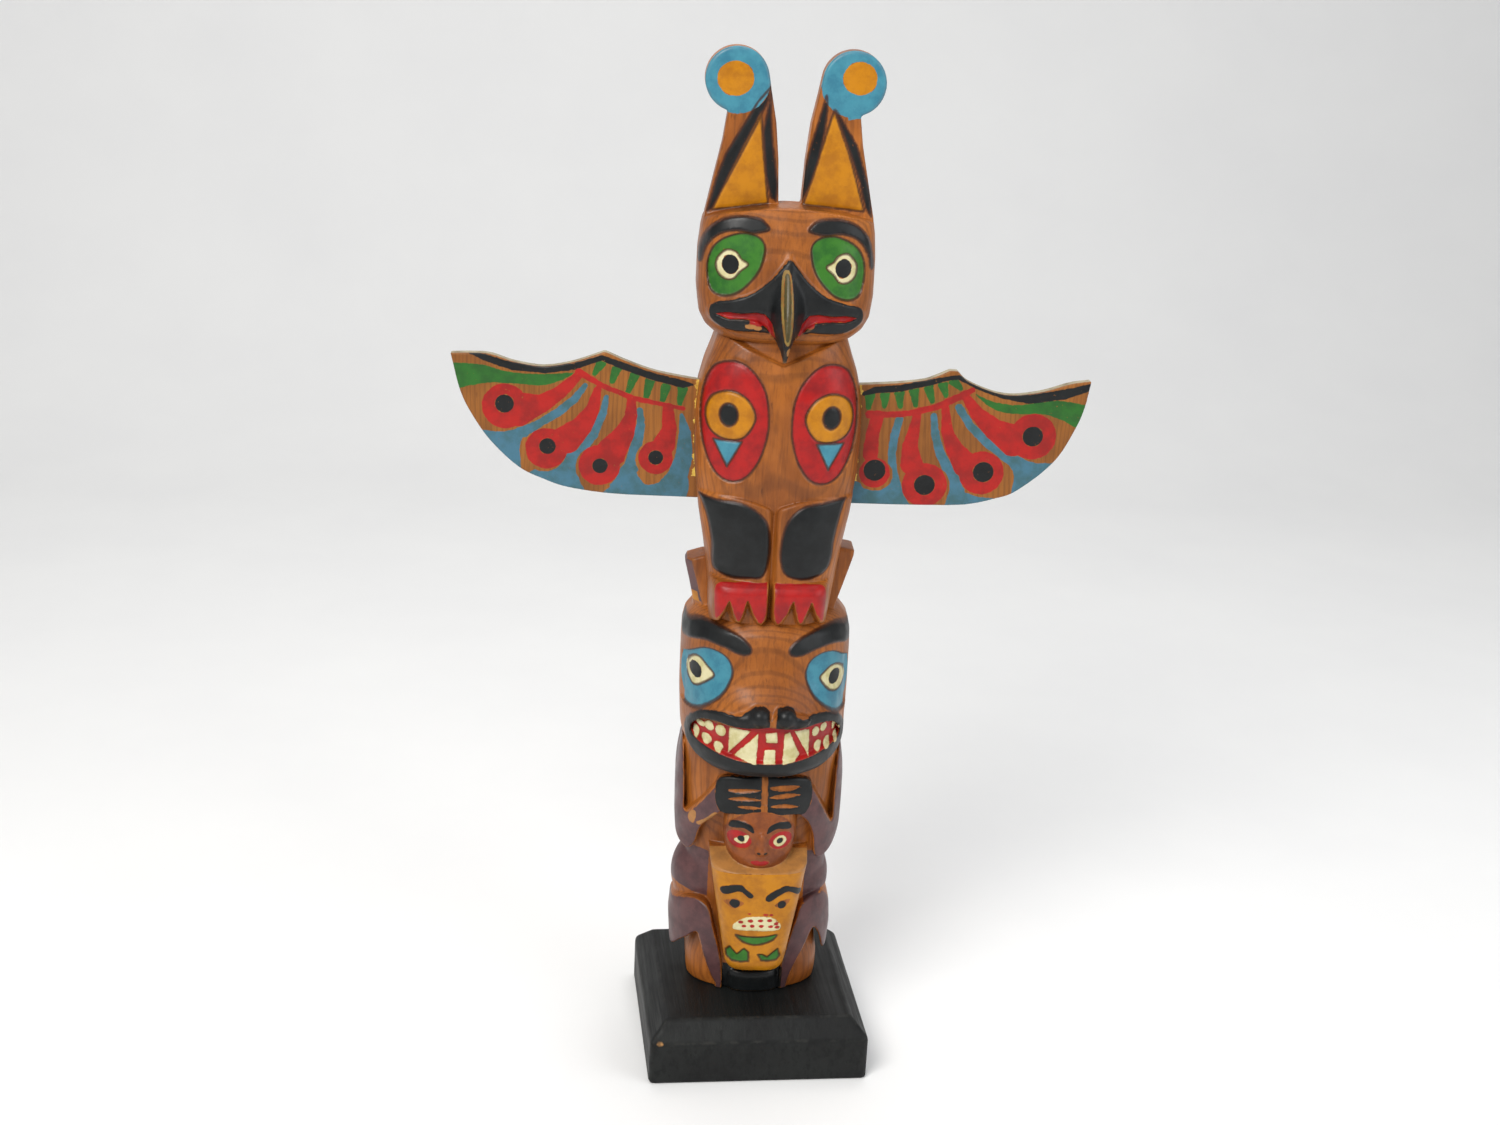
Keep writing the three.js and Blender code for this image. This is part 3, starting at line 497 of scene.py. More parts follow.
def column(w, levels, side, power, back=BACK, relief=0.0, x=0.0, rounding=BACK_ROUND):
    """A block with straight sides, a flat back and a rounded front; relief stands proud of it."""
    half, front = along(levels, w.z, 1), along(levels, w.z, 2)
    depth = side - front
    u = np.abs(w.x - x) / half
    v = np.maximum(side - w.y, 0) / depth
    slope = np.sqrt((power * u ** (power - 1) / half) ** 2 + (2 * v / depth) ** 2)
    shell = (u**power + v**2 - 1) / np.maximum(slope, 0.03)
    low, high = levels[0][0], levels[-1][0]
    body = soft_max(shell - relief, w.y - back, rounding)
    return np.maximum(body, np.maximum(low - w.z, w.z - high))


def stamp(d, height, edge=0.7):
    """Relief that reaches its height just inside an outline."""
    return height * ramp(-d, -edge / 2, edge / 2)


def groove(d, depth=0.6, width=0.45):
    return -depth * np.exp(-(d / width) ** 2)


def ellipsoid(w, centre, radii):
    parts = [(c - o) / r for c, o, r in zip((w.x, w.y, w.z), centre, radii)]
    length = np.sqrt(sum(p * p for p in parts))
    slope = np.sqrt(sum((p / r) ** 2 for p, r in zip(parts, radii)))
    return length * (length - 1) / np.maximum(slope, 1e-3)


def over(w, outlines):
    return np.minimum.reduce([w.flat(o) for o in outlines])


def ears(w):
    line_depth, line_width = 0.45, 0.5
    front_round, back_round = 1.2, 1.4
    solid = FAR
    for outline in both(EAR):
        lines = np.minimum(np.abs(over(w, EAR_YELLOW)), np.abs(over(w, EAR_OUTER)))
        front = EAR_FRONT - w.y - groove(lines, line_depth, line_width)
        slab = soft_max(soft_max(w.flat(outline), front, front_round), w.y - EAR_BACK, back_round)
        solid = np.minimum(solid, slab)
    return solid


def bird_head(w):
    brow_height, socket_depth, bill_height, slit_depth, eye_depth = 1.1, 1.1, 1.3, 1.5, 0.15
    brow = stamp(over(w, both(BIRD_BROW, BIRD_X)), brow_height, 0.9) * ramp(-np.abs(w.x), -31.6, -28.6)
    socket = stamp(over(w, both(BIRD_SOCKET, BIRD_X)), socket_depth, 0.8)
    bill = stamp(w.flat(BILL_TOP), bill_height, 1.6)
    slit = stamp(over(w, both(BILL_SLIT)), slit_depth, 0.9)
    eye = groove(over(w, both(BIRD_EYE, BIRD_X)), eye_depth, 0.4)
    cheek = 1.6 * np.exp(-((w.x - BIRD_X) / 13) ** 2 - ((w.z - 322) / 8) ** 2)
    head = column(w, HEAD, 0, 3.5, relief=brow - socket + bill - slit + eye + cheek)
    crown_top, crown_drop, crown_half = 344.8, 5.2, 31.5
    crown = w.z - (crown_top - crown_drop * (w.x / crown_half) ** 2)
    nape_y, nape_z = 6.2, 345.5
    nape = (w.z - nape_z) * 0.46 + (w.y - nape_y) * 0.888
    return soft_max(soft_max(head, crown, 1.6), nape, 1.4)


def beak(w):
    ridge, half = along(BEAK, w.z, 1), along(BEAK, w.z, 2)
    lean = -0.8 * ramp(-w.z, -312, -291)
    ridge_half, root = 0.7, -12.0
    t = np.clip(np.maximum(np.abs(w.x - lean) - ridge_half, 0) / half, 0, 1.4)
    surface = ridge + (root - ridge) * t**1.25
    steep = np.abs(root - ridge) / half
    front = (surface - w.y) / np.sqrt(1 + steep**2)
    table = np.asarray(BEAK_UNDER)
    under = w.y - np.interp(w.z, table[:, 0], table[:, 1])
    solid = soft_max(front, under * 0.8, 0.8)
    return np.maximum(solid, np.maximum(BEAK_UNDER[0][0] - w.z, w.z - 328.6))


def chest(w):
    egg, eye = over(w, both(CHEST_EGG, CHEST_X)), over(w, both(CHEST_EYE, CHEST_X))
    pupil, tear = over(w, both(CHEST_PUPIL, CHEST_X)), over(w, both(CHEST_TEAR, CHEST_X))
    deep, shallow, neck_depth = 0.8, 0.6, 2.4
    relief = groove(egg, deep, 0.55) - stamp(egg, 0.35, 1.4)
    relief = relief + groove(eye, deep, 0.5) + groove(pupil, shallow, 0.4) + groove(tear, shallow, 0.4)
    relief = relief + stamp(eye, 0.5, 2.0) - stamp(w.flat(NECK_V), neck_depth, 1.2)
    return column(w, CHEST, 0, 3, relief=relief)


def legs(w):
    centre = np.abs(w.x - LEG_GROOVE_X)
    panel = over(w, LEG_PANELS)
    parting, panel_line, panel_height = 3.4, 0.4, 0.4
    relief = -parting * np.exp(-(centre / 1.5) ** 1.4)
    relief = relief + groove(panel, panel_line, 0.5) + stamp(panel, panel_height, 1.2)
    shell = column(w, LEGS, -2, 2.6, back=3, relief=relief, rounding=1)
    return soft_max(shell, w.flat(LEG_TOP), 1.4)


def feet(w):
    block = column(w, FEET, -4, 9, back=6, rounding=1, x=LEG_GROOVE_X)
    behind = w.y + 22
    toes = over(w, both(TOES, LEG_GROOVE_X)) - 0.3 * np.maximum(behind, 0)
    gap = 1.1 - np.abs(w.x - LEG_GROOVE_X) - 0.12 * behind
    return soft_max(soft_max(block, toes, 0.7), gap, 0.7)


def bear_ears(w):
    middle, half = 5.5, 6.5
    left, right = (soft_max(w.flat(np.asarray(ear)), np.abs(w.y - middle) - half, 1.2) for ear in BEAR_EARS)
    ridge = -26.4 - (w.z - 190) * 0.27
    left = soft_max(left, (ridge - w.x) * 0.8 - (w.y + 0.6) * 0.6, 0.6)
    return np.minimum(left, right)


def bear_head(w):
    lips, mouth = w.flat(LIPS), w.flat(MOUTH)
    dots = np.minimum.reduce([w.flat(oval((x, z), (rx, rz), 12)) for x, z, rx, rz in TOOTH_DOTS])
    fangs = np.minimum.reduce([w.flat(np.asarray(f)) for f in FANGS])
    near = ramp(-w.y, -5, 1)
    brow_height, socket_depth, lip_height, mouth_depth, dot_height, fang_height = 0.7, 1.2, 1.2, 2.4, 0.7, 0.8
    relief = stamp(over(w, both(BEAR_BROW)), brow_height, 0.8) * ramp(-np.abs(w.x), -33.0, -30.0)
    relief = relief - stamp(over(w, both(BEAR_SOCKET)), socket_depth, 0.9) * near
    relief = relief + groove(over(w, BEAR_EYES), 0.15, 0.4) * near
    relief = relief + stamp(lips, lip_height, 1.2) - stamp(mouth, mouth_depth, 1.0)
    relief = relief + stamp(dots, dot_height, 0.8) + stamp(fangs, fang_height, 0.8)
    skull = column(w, BEAR, 8, 2.1, relief=relief)
    spread, y, z = NOSTRIL
    for side in (-1, 1):
        bulb = ellipsoid(w, (NOSE_X + side * spread, y, z), (4.0, 4.3, 4.0))
        wing = ellipsoid(w, (NOSE_X + side * (spread + 5.2), y + 1.4, z - 1.6), (4.6, 2.9, 2.7))
        skull = soft_min(skull, soft_min(bulb, wing, 2.0), 1.2)
    return skull


def trunk(w):
    return column(w, TRUNK, 1, 2.4)


def limb_relief(w):
    fingers = np.minimum.reduce([w.flat(np.asarray(f)) for f in FINGERS])
    finger_depth, parting_depth = 0.8, 0.9
    parting = stamp(w.flat(np.asarray(PARTING)), parting_depth, 1.0) * (w.y < -10)
    return -stamp(fingers, finger_depth, 0.7) - parting


def limbs(w):
    lean = -1.3 * ramp(-w.z, -92, -70)
    surface = column(w, LIMBS, 3, 2.1, relief=limb_relief(w), x=lean)
    arms = soft_max(over(w, ARMS), w.y - ARM_BACK, 1.4)
    paws = soft_max(over(w, both(PAW, PAW_X)), w.y, 1)
    knees = soft_max(over(w, LEGS_BENT), w.y - KNEE_BACK, 1.4)
    shape = np.minimum(np.minimum(arms, paws), knees)
    return np.maximum(soft_max(surface, shape, 1.2), FOOT - w.z)


def haunches(w):
    middle, apart, radii = (-1.9, 5, 69.5), 18, (14.2, 14, 17.5)
    sides = [ellipsoid(w, (middle[0] + side * apart, *middle[1:]), radii) for side in (-1, 1)]
    return np.minimum(*sides)


def instep(w):
    levels = [(20, 12.4, -17.6), (32.6, 12.4, -18.0), (34.6, 12.2, -17.2)]
    shape = column(w, levels, -8, 3, back=0, rounding=1)
    return np.maximum(shape, FOOT - w.z)


def human(w):
    sockets = over(w, both(HUMAN_PATCH, -0.3))
    mouth = w.flat(HUMAN_MOUTH)
    relief = stamp(over(w, both(HUMAN_BROW, -0.3)), 0.5, 0.8) - stamp(sockets, 0.6, 1.2)
    lips = 0.7 * np.exp(-((w.x - 0.2) / 5.5) ** 2 - ((w.z - 88.4) / 2.6) ** 2)
    relief = relief + lips + groove(mouth, 0.3, 0.4)
    face = column(w, HUMAN, -15, 2.2, back=-4, relief=relief, rounding=1)
    bridge = ellipsoid(w, (0.4, -26.2, 96.2), (1.7, 1.6, 4.6))
    nose = soft_min(bridge, ellipsoid(w, (0.5, -26.6, 93.6), (2.6, 1.9, 1.7)), 1.0)
    return soft_min(face, nose, 1.6)


def copper(w):
    cut = stamp(w.flat(COPPER_MOUTH), 0.5, 0.7) + stamp(over(w, COPPER_LEAVES), 0.5, 0.7)
    raised = stamp(over(w, COPPER_BROWS), 0.35, 0.6) + stamp(w.flat(COPPER_BAND), 0.35, 0.8)
    slab = column(w, COPPER, -20, 3.4, back=-4, rounding=1, relief=raised - cut)
    top = w.z - 84.6 - 0.34 * (w.y + 28)
    return soft_max(slab, top, 0.8)


def waist(w):
    return column(w, WAIST, 0, 3)


# For each piece its span of heights, then each form with its own span and how far it melts into the rest.
FIGURES = {
    "bird_head": (290, 403, [(ears, 333, 403, 0.6), (bird_head, 291, 348, 0.4), (beak, 288, 330, 1.4)]),
    "bird_body": (176, 300, [
        (waist, 176, 234, 0.3), (chest, 222, 300, 0.3), (feet, 180, 208, 0.4), (legs, 178, 240, 0.3),
    ]),
    "bear_head": (122, 214, [(bear_ears, 178, 214, 0.4), (bear_head, 123, 191, 0.3)]),
    "bear_body": (FOOT, 134, [
        (trunk, FOOT, 134, 0.3), (limbs, FOOT, 134, 0.5), (haunches, 50, 90, 0.6), (instep, FOOT, 38, 0.4),
        (human, 80, 112, 0.4), (copper, 36, 92, 0.3),
    ]),
}


def figure_field(name, xs, ys, zs):
    low, high, forms = FIGURES[name]
    field = np.full((len(xs), len(ys), len(zs)), FAR, np.float32)
    for form, bottom, top, melt in forms:
        here = slice(*np.searchsorted(zs, (bottom - 1, top + 1)))
        window = Window(xs, ys, zs[here])
        solid = np.maximum(form(window), np.maximum(low - window.z, window.z - high))
        field[:, :, here] = soft_min(field[:, :, here], solid, melt)
    return field


# ---------------------------------------------------------------- from field to mesh

CORNERS = [(i, j, k) for i in (0, 1) for j in (0, 1) for k in (0, 1)]
EDGES = [(a, b) for a in CORNERS for b in CORNERS if a < b and sum(abs(p - q) for p, q in zip(a, b)) == 1]


def surface(field, axes):
    """Points and quads of the surface where the field is zero, inside being negative."""
    inside = field < 0
    shape = [n - 1 for n in field.shape]
    nx, ny, nz = shape
    count = sum(inside[i:i + nx, j:j + ny, k:k + nz].astype(np.uint8) for i, j, k in CORNERS)
    active = (count > 0) & (count < 8)
    cells = np.argwhere(active)
    number = np.full(shape, -1, np.int64)
    number[active] = np.arange(len(cells))
    total, hits = np.zeros((len(cells), 3)), np.zeros((len(cells), 1))
    for a, b in EDGES:
        ia, ib = (cells + a).T, (cells + b).T
        fa, fb = field[tuple(ia)].astype(float), field[tuple(ib)].astype(float)
        cross = (fa < 0) != (fb < 0)
        t = np.where(cross, fa / np.where(fa == fb, 1, fa - fb), 0)[:, None]
        pa = np.column_stack([axes[n][ia[n]] for n in range(3)])
        pb = np.column_stack([axes[n][ib[n]] for n in range(3)])
        total += (pa + t * (pb - pa)) * cross[:, None]
        hits += cross[:, None]
    quads = []
    for n in range(3):
        p, q = [m for m in range(3) if m != n]
        first = np.swapaxes(inside, 0, n)[:-1]
        last = np.swapaxes(inside, 0, n)[1:]
        along_edge = np.swapaxes(first != last, 0, n)
        at = np.argwhere(along_edge)
        at = at[(at[:, p] > 0) & (at[:, q] > 0) & (at[:, p] < shape[p]) & (at[:, q] < shape[q])]
        step_p, step_q = np.eye(3, dtype=int)[p], np.eye(3, dtype=int)[q]
        ring = [at, at - step_p, at - step_p - step_q, at - step_q]
        quad = np.column_stack([number[tuple(c.T)] for c in ring])
        starts_inside = inside[tuple(at.T)]
        outward = starts_inside if n != 1 else ~starts_inside
        quads.append(np.where(outward[:, None], quad, quad[:, ::-1]))
    return total / hits, np.vstack(quads)


def mesh_object(name, points, quads):
    """A smooth-shaded object from points in mm in the row frame."""
    mesh = bpy.data.meshes.new(name)
    mesh.vertices.add(len(points))
    mesh.vertices.foreach_set("co", (np.asarray(points) * MM).astype(np.float32).ravel())
    mesh.loops.add(quads.size)
    mesh.loops.foreach_set("vertex_index", quads.astype(np.int32).ravel())
    mesh.polygons.add(len(quads))
    mesh.polygons.foreach_set("loop_start", np.arange(0, quads.size, 4, dtype=np.int32))
    mesh.update(calc_edges=True)
    mesh.validate()
    mesh.shade_smooth()
    obj = bpy.data.objects.new(name, mesh)
    bpy.context.scene.collection.objects.link(obj)
    return obj


def points_of(obj):
    """The object's vertices in mm in the row frame."""
    co = np.zeros(len(obj.data.vertices) * 3, np.float32)
    obj.data.vertices.foreach_get("co", co)
    return co.reshape(-1, 3).astype(float) / MM


def turned(points, angle=POLE_TURN):
    """From the pole's own frame to the row frame."""
    c, s = math.cos(angle), math.sin(angle)
    x, y, z = np.asarray(points).T
    return np.column_stack([POLE_OFFSET + c * x - s * y, s * x + c * y, z])


def hand_cut(points, size, seed, lengths=(5, 14)):
    """Shallow unevenness left by the knife: a sum of waves in random directions, in mm."""
    draw = np.random.default_rng(seed)
    total = np.zeros(len(points))
    for _ in range(14):
        direction = draw.normal(size=3) * (1, 1, 0.6)
        direction *= 2 * np.pi / draw.uniform(*lengths) / np.linalg.norm(direction)
        total += np.sin(points @ direction + draw.uniform(0, 2 * np.pi))
    return total * size / 3


# ---------------------------------------------------------------- paint

COLOURS = ("black", "red", "yellow", "green", "blue", "cream", "purple", "skin", "bare", "olive", "pale")


class Paint:
    """Distances from each vertex to the edge of each colour, negative where the colour lies."""

    def __init__(self, points):
        self.x, self.y, self.z = points.T
        self.edge = {c: np.full(len(points), FAR) for c in COLOURS}
        self.line = np.full(len(points), FAR)

    def inside(self, outlines):
        near = np.full(len(self.x), FAR)
        for outline in outlines:
            outline = np.asarray(outline, float)
            low, high = outline.min(0) - 3, outline.max(0) + 3
            m = (self.x > low[0]) & (self.x < high[0]) & (self.z > low[1]) & (self.z < high[1])
            near[m] = np.minimum(near[m], distance(outline, self.x[m], self.z[m]))
        return near

    def lay(self, colour, d, back=FAR):
        """One coat over everything under it, as far back as y = back."""
        d = np.maximum(d, self.y - back)
        for other in COLOURS:
            if other != colour:
                self.edge[other] = np.maximum(self.edge[other], -d)
        if colour in self.edge:
            self.edge[colour] = np.minimum(self.edge[colour], d)

    def coat(self, colour, outlines, back=0.0):
        self.lay(colour, self.inside(outlines), back)

    def strip(self, outlines, back=0.0):
        """Bare wood, worn or never painted."""
        self.lay("wood", self.inside(outlines), back)

    def engrave(self, outlines, back=0.0):
        for outline in outlines:
            d = np.maximum(np.abs(self.inside([outline])), self.y - back)
            self.line = np.minimum(self.line, d)

    def stroke(self, path):
        """Distance to a brush stroke through (x, z, radius) points."""
        near = np.full(len(self.x), FAR)
        for (ax, az, ar), (bx, bz, br) in zip(path[:-1], path[1:]):
            ex, ez = bx - ax, bz - az
            t = np.clip(((self.x - ax) * ex + (self.z - az) * ez) / (ex * ex + ez * ez), 0, 1)
            off = np.hypot(self.x - ax - t * ex, self.z - az - t * ez)
            near = np.minimum(near, off - ar - t * (br - ar))
        return near

    def disc(self, x, z, radius):
        return np.hypot(self.x - x, self.z - z) - radius

    def store(self, obj):
        for name, values in {**self.edge, "line": self.line}.items():
            made = obj.data.attributes.new("paint_" + name, "FLOAT", "POINT")
            made.data.foreach_set("value", np.clip(values, -FAR, FAR).astype(np.float32))


def paint_ears(paint):
    front = EAR_FRONT + 0.9
    paint.coat("black", EAR_OUTER + EAR_INNER, front)
    paint.coat("yellow", EAR_YELLOW, front)
    (x, z), r = EAR_DISC
    discs = both(oval((x, z), r + 0.5)) + [np.array([(19.5, 376), (24.6, 376.8), (24.8, 381), (19, 381)])]
    paint.coat("blue", discs, front + 0.7)
    paint.coat("yellow", [oval((-21.9, 389.3), (6.7, 6.3), 24), oval((23.0, 391.0), (6.3, 6.0), 24)], front)
    paint.engrave(EAR_YELLOW + EAR_OUTER + EAR_INNER, front)


def paint_bird(paint):
    paint.coat("black", both(BIRD_BROW, BIRD_X), 6)
    paint.coat("green", both(BIRD_SOCKET, BIRD_X), 0)
    paint.coat("cream", both(BIRD_EYE, BIRD_X))
    paint.coat("black", both(BIRD_PUPIL, BIRD_X))
    paint.coat("black", [BILL_TOP], -12)
    tip = np.maximum(np.abs(paint.x + 0.8) - 9, paint.y + 18.2 - 0.2 * (paint.z - 290))
    paint.lay("black", np.maximum(tip, paint.z - 301), -12)
    paint.coat("red", both(BILL_SLIT), -8)
    paint.coat("red", [oval((-11.2, 303.6), (2.6, 1.9), 9), oval((8.6, 303.0), (1.6, 1.3), 9)], -8)
    paint.coat("pale", [oval((-13.2, 301.9), (2.2, 0.9), 10), oval((-10.6, 301.4), (1.6, 0.8), 8)], -8)
    ridge = smooth([
        (-1.4, 323.9), (-2.6, 321.8), (-2.9, 313), (-2.2, 304), (-1.0, 298.6), (0.6, 298.4), (1.5, 304),
        (1.5, 313), (0.4, 321.8),
    ], 4)
    paint.coat("bare", [ridge], -17.6)
    paint.coat("olive", [ridge * (0.62, 0.9) + (-0.2, 31.2)], -17.6)
    paint.coat("pale", [oval((0.4, 295.2), (0.8, 1.5), 8)], -20)
    paint.engrave(both(BIRD_SOCKET, BIRD_X) + both(BIRD_BROW, BIRD_X) + both(BIRD_EYE, BIRD_X), 4)


def paint_body(paint):
    paint.coat("red", both(CHEST_EGG, CHEST_X))
    paint.coat("yellow", both(CHEST_EYE, CHEST_X))
    paint.coat("black", both(CHEST_PUPIL, CHEST_X))
    paint.coat("blue", both(CHEST_TEAR, CHEST_X))
    paint.engrave(both(CHEST_EGG, CHEST_X) + both(CHEST_EYE, CHEST_X))
    paint.engrave(both(CHEST_PUPIL, CHEST_X) + both(CHEST_TEAR, CHEST_X))
    paint.coat("black", LEG_PANELS)
    paint.engrave(LEG_PANELS)
    wide = np.abs(paint.x - LEG_GROOVE_X)
    nails = np.maximum(np.maximum(wide - 23.9, 1.5 - wide), np.maximum(paint.z - 203.2, 186 - paint.z))
    front = np.maximum(nails, paint.inside(both(TOES, LEG_GROOVE_X)) + 0.3)
    paint.lay("red", front, -18.4)


def paint_bear(paint):
    facet = paint.x + 26.8 + (paint.z - 190) * 0.27
    paint.lay("purple", np.maximum(facet, np.maximum(paint.z - 204.8, 188 - paint.z)), 11)
    paint.lay("yellow", np.maximum(facet + 0.8, np.maximum(paint.z - 191.8, 187.5 - paint.z)), 11)
    paint.coat("black", both(BEAR_BROW), 13)
    cheek = (np.hypot((paint.y + 8) / 12, (paint.z - 160.5) / 12.5) - 1) * 12
    socket = np.maximum(paint.inside(both(BEAR_SOCKET)), np.where(np.abs(paint.x) > 31.5, cheek, -FAR))
    paint.lay("blue", socket, 8)
    paint.coat("cream", BEAR_EYES, 8)
    paint.coat("black", BEAR_PUPILS, 8)
    spread, _, z = NOSTRIL
    noses = [oval((NOSE_X + s * spread, z + 0.2), 4.2) for s in (-1, 1)]
    paint.coat("black", [LIPS] + noses, 6)
    paint.strip([np.array([(0.6, 147), (2.8, 147), (3.2, 158), (0.2, 158)])])
    paint.strip([MOUTH], 6)
    paint.coat("red", [GUMS], 6)
    dots = [oval((x, z), (rx, rz), 12) for x, z, rx, rz in TOOTH_DOTS]
    paint.coat("cream", dots + [np.asarray(f) for f in FANGS], 6)
    paint.engrave(both(BEAR_BROW), 12)
    paint.engrave((*both(BEAR_SOCKET), *BEAR_EYES), -2)


def paint_limbs(paint):
    arms = paint.inside(ARMS) + 0.5
    flank = np.abs(paint.x) > 29
    paint.lay("purple", np.maximum(arms, np.where(flank, -1.0, paint.y + 6)), ARM_BACK)
    patches = [
        [(-28.2, 102.8), (-26.5, 104.8), (-25.6, 103.3), (-26.5, 98.7), (-28.4, 99.7)],
        [
            (-25.3, 99.8), (-22.8, 101.8), (-18.6, 106.6), (-17.2, 105.8), (-19.2, 102.8),
            (-22.3, 100.6), (-24.2, 98.8),
        ],
    ]
    paint.coat("pale", [smooth(p, 3) for p in patches])
    paint.coat("black", both(PAW, PAW_X))
    paint.strip([np.asarray(PARTING, float)] + [smooth(f, 4) for f in FINGERS], -10)
    wide = np.abs(paint.x)
    haunch = np.hypot(np.abs(paint.x + 1.9) - 22, (paint.z - 72) / 1.2) - 11.4
    haunch = np.maximum(np.maximum(haunch, 19.5 - wide), 64.5 + 0.25 * (wide - 20) - paint.z)
    paint.lay("purple", haunch, 14)
    knees = paint.inside(LEGS_BENT) + 0.45
    paint.lay("purple", np.maximum(knees, np.where(np.abs(paint.x) > 26, -1, paint.y + 3)), KNEE_BACK)
    sole = np.maximum(np.abs(paint.x + 0.1) - 12.2, paint.z - 36.8)
    paint.lay("black", np.maximum(sole, paint.y + 11), 0)


def paint_human(paint):
    head = np.maximum(paint.inside([oval((0, 96), (15, 13.4), 24)]), 82 - paint.z)
    paint.lay("skin", np.maximum(head, np.maximum(paint.y + 14, 84.9 + 0.34 * (paint.y + 28) - paint.z)), -14)
    paint.coat("black", both(HUMAN_BROW, -0.3), -16)
    paint.coat("red", both(HUMAN_PATCH, -0.3), -16)
    paint.coat("cream", HUMAN_EYE, -16)
    paint.coat("black", HUMAN_PUPIL, -16)
    paint.coat("black", [oval((-0.8, 93.2), (0.9, 0.7), 8), oval((1.9, 93.2), (0.9, 0.7), 8)], -16)
    paint.coat("red", [HUMAN_MOUTH], -16)


def paint_copper(paint):
    front = np.abs(paint.x) - (12.6 + (paint.z - 44) * 0.17)
    slab = np.maximum(np.maximum(front, 36 - paint.z), paint.z - 84.4)
    paint.lay("yellow", np.maximum(slab, paint.y + 17), 0)
    paint.lay("pale", np.maximum(np.maximum(front - 1, np.abs(paint.z - 87.6) - 3.3), paint.y + 14), 0)
    paint.coat("black", COPPER_BROWS, -18)
    paint.strip(COPPER_LIDS, -18)
    paint.coat("black", COPPER_EYES, -18)
    paint.coat("cream", [COPPER_BAND], -18)
    paint.coat("red", [oval(c, (1.15, 0.75), 10) for c in COPPER_SPOTS], -18)
    smears = [oval((-3.5, 66.6), (1.2, 0.5), 7), oval((3.2, 66.5), (1.6, 0.5), 7)]
    smears.append(oval((5.6, 66.4), (0.9, 0.6), 6))
    paint.coat("red", smears, -18)
    paint.coat("green", [COPPER_MOUTH, *COPPER_LEAVES], -18)
    paint.engrave([COPPER_MOUTH, *COPPER_LEAVES], -18)


# ---------------------------------------------------------------- materials

def rgb(r, g, b):
    """An sRGB colour, 0 to 255, as linear values."""
    linear = [c / 255 / 12.92 if c <= 10 else ((c / 255 + 0.055) / 1.055) ** 2.4 for c in (r, g, b)]
    return (*linear, 1)


PAINTS = {
    "black": (rgb(8, 10, 11), rgb(18, 21, 22)),
    "red": (rgb(166, 18, 16), rgb(134, 15, 18)),
    "yellow": (rgb(186, 120, 4), rgb(162, 100, 6)),
    "green": (rgb(52, 112, 30), rgb(34, 90, 28)),
    "blue": (rgb(64, 132, 150), rgb(50, 112, 134)),
    "cream": (rgb(212, 204, 162), rgb(186, 176, 120)),
    "purple": (rgb(94, 62, 62), rgb(74, 50, 52)),
    "skin": (rgb(140, 74, 30), rgb(108, 54, 24)),
    "bare": (rgb(136, 114, 56), rgb(124, 88, 40)),
    "olive": (rgb(62, 54, 24), rgb(78, 68, 34)),
    "pale": (rgb(172, 118, 60), rgb(142, 98, 54)),
}


class Nodes:
    """Short names for the few kinds of node that the materials are made of."""

    def __init__(self, name):
        self.material = bpy.data.materials.new(name)
        self.material.use_nodes = True
        self.tree = self.material.node_tree
        self.shader = self.tree.nodes["Principled BSDF"]
        self.place = self.tree.nodes.new("ShaderNodeTexCoord").outputs["Object"]

    def new(self, kind, **settings):
        node = self.tree.nodes.new(kind)
        for key, value in settings.items():
            setattr(node, key, value)
        return node

    def feed(self, socket, value):
        if isinstance(value, bpy.types.NodeSocket):
            self.tree.links.new(value, socket)
        else:
            socket.default_value = value

    def math(self, operation, a, b=0.0, clamp=False):
        node = self.new("ShaderNodeMath", operation=operation, use_clamp=clamp)
        self.feed(node.inputs[0], a)
        self.feed(node.inputs[1], b)
        return node.outputs[0]

    def ramp(self, value, low, high, start=0.0, end=1.0):
        node = self.new("ShaderNodeMapRange", interpolation_type="SMOOTHSTEP")
        for socket, number in zip(node.inputs, (value, low, high, start, end)):
            self.feed(socket, number)
        return node.outputs[0]

    def mix(self, factor, a, b, blend="MIX"):
        node = self.new("ShaderNodeMix", data_type="RGBA", blend_type=blend)
        self.feed(node.inputs["Factor"], factor)
        self.feed(node.inputs["A"], a)
        self.feed(node.inputs["B"], b)
        return node.outputs["Result"]

    def stretched(self, scale):
        node = self.new("ShaderNodeMapping")
        self.feed(node.inputs["Vector"], self.place)
        node.inputs["Scale"].default_value = scale
        return node.outputs["Vector"]

    def noise(self, scale, detail=3.0, vector=None, rough=0.55):
        node = self.new("ShaderNodeTexNoise")
        self.feed(node.inputs["Vector"], vector or self.place)
        node.inputs["Scale"].default_value = scale
        node.inputs["Detail"].default_value = detail
        node.inputs["Roughness"].default_value = rough
        return node.outputs["Fac"]

    def attribute(self, name):
        return self.new("ShaderNodeAttribute", attribute_name=name).outputs["Fac"]

    def bump(self, height, strength, distance_mm, normal=None):
        node = self.new("ShaderNodeBump")
        node.inputs["Strength"].default_value = strength
        node.inputs["Distance"].default_value = distance_mm * MM
        self.feed(node.inputs["Height"], height)
        if normal:
            self.feed(node.inputs["Normal"], normal)
        return node.outputs["Normal"]

    def finish(self, colour, roughness, normal, coat=0.0):
        self.feed(self.shader.inputs["Base Color"], colour)
        self.feed(self.shader.inputs["Roughness"], roughness)
        self.feed(self.shader.inputs["Normal"], normal)
        self.shader.inputs["Specular IOR Level"].default_value = 0.28
        self.shader.inputs["Coat Weight"].default_value = coat
        self.shader.inputs["Coat Roughness"].default_value = 0.25
        return self.material


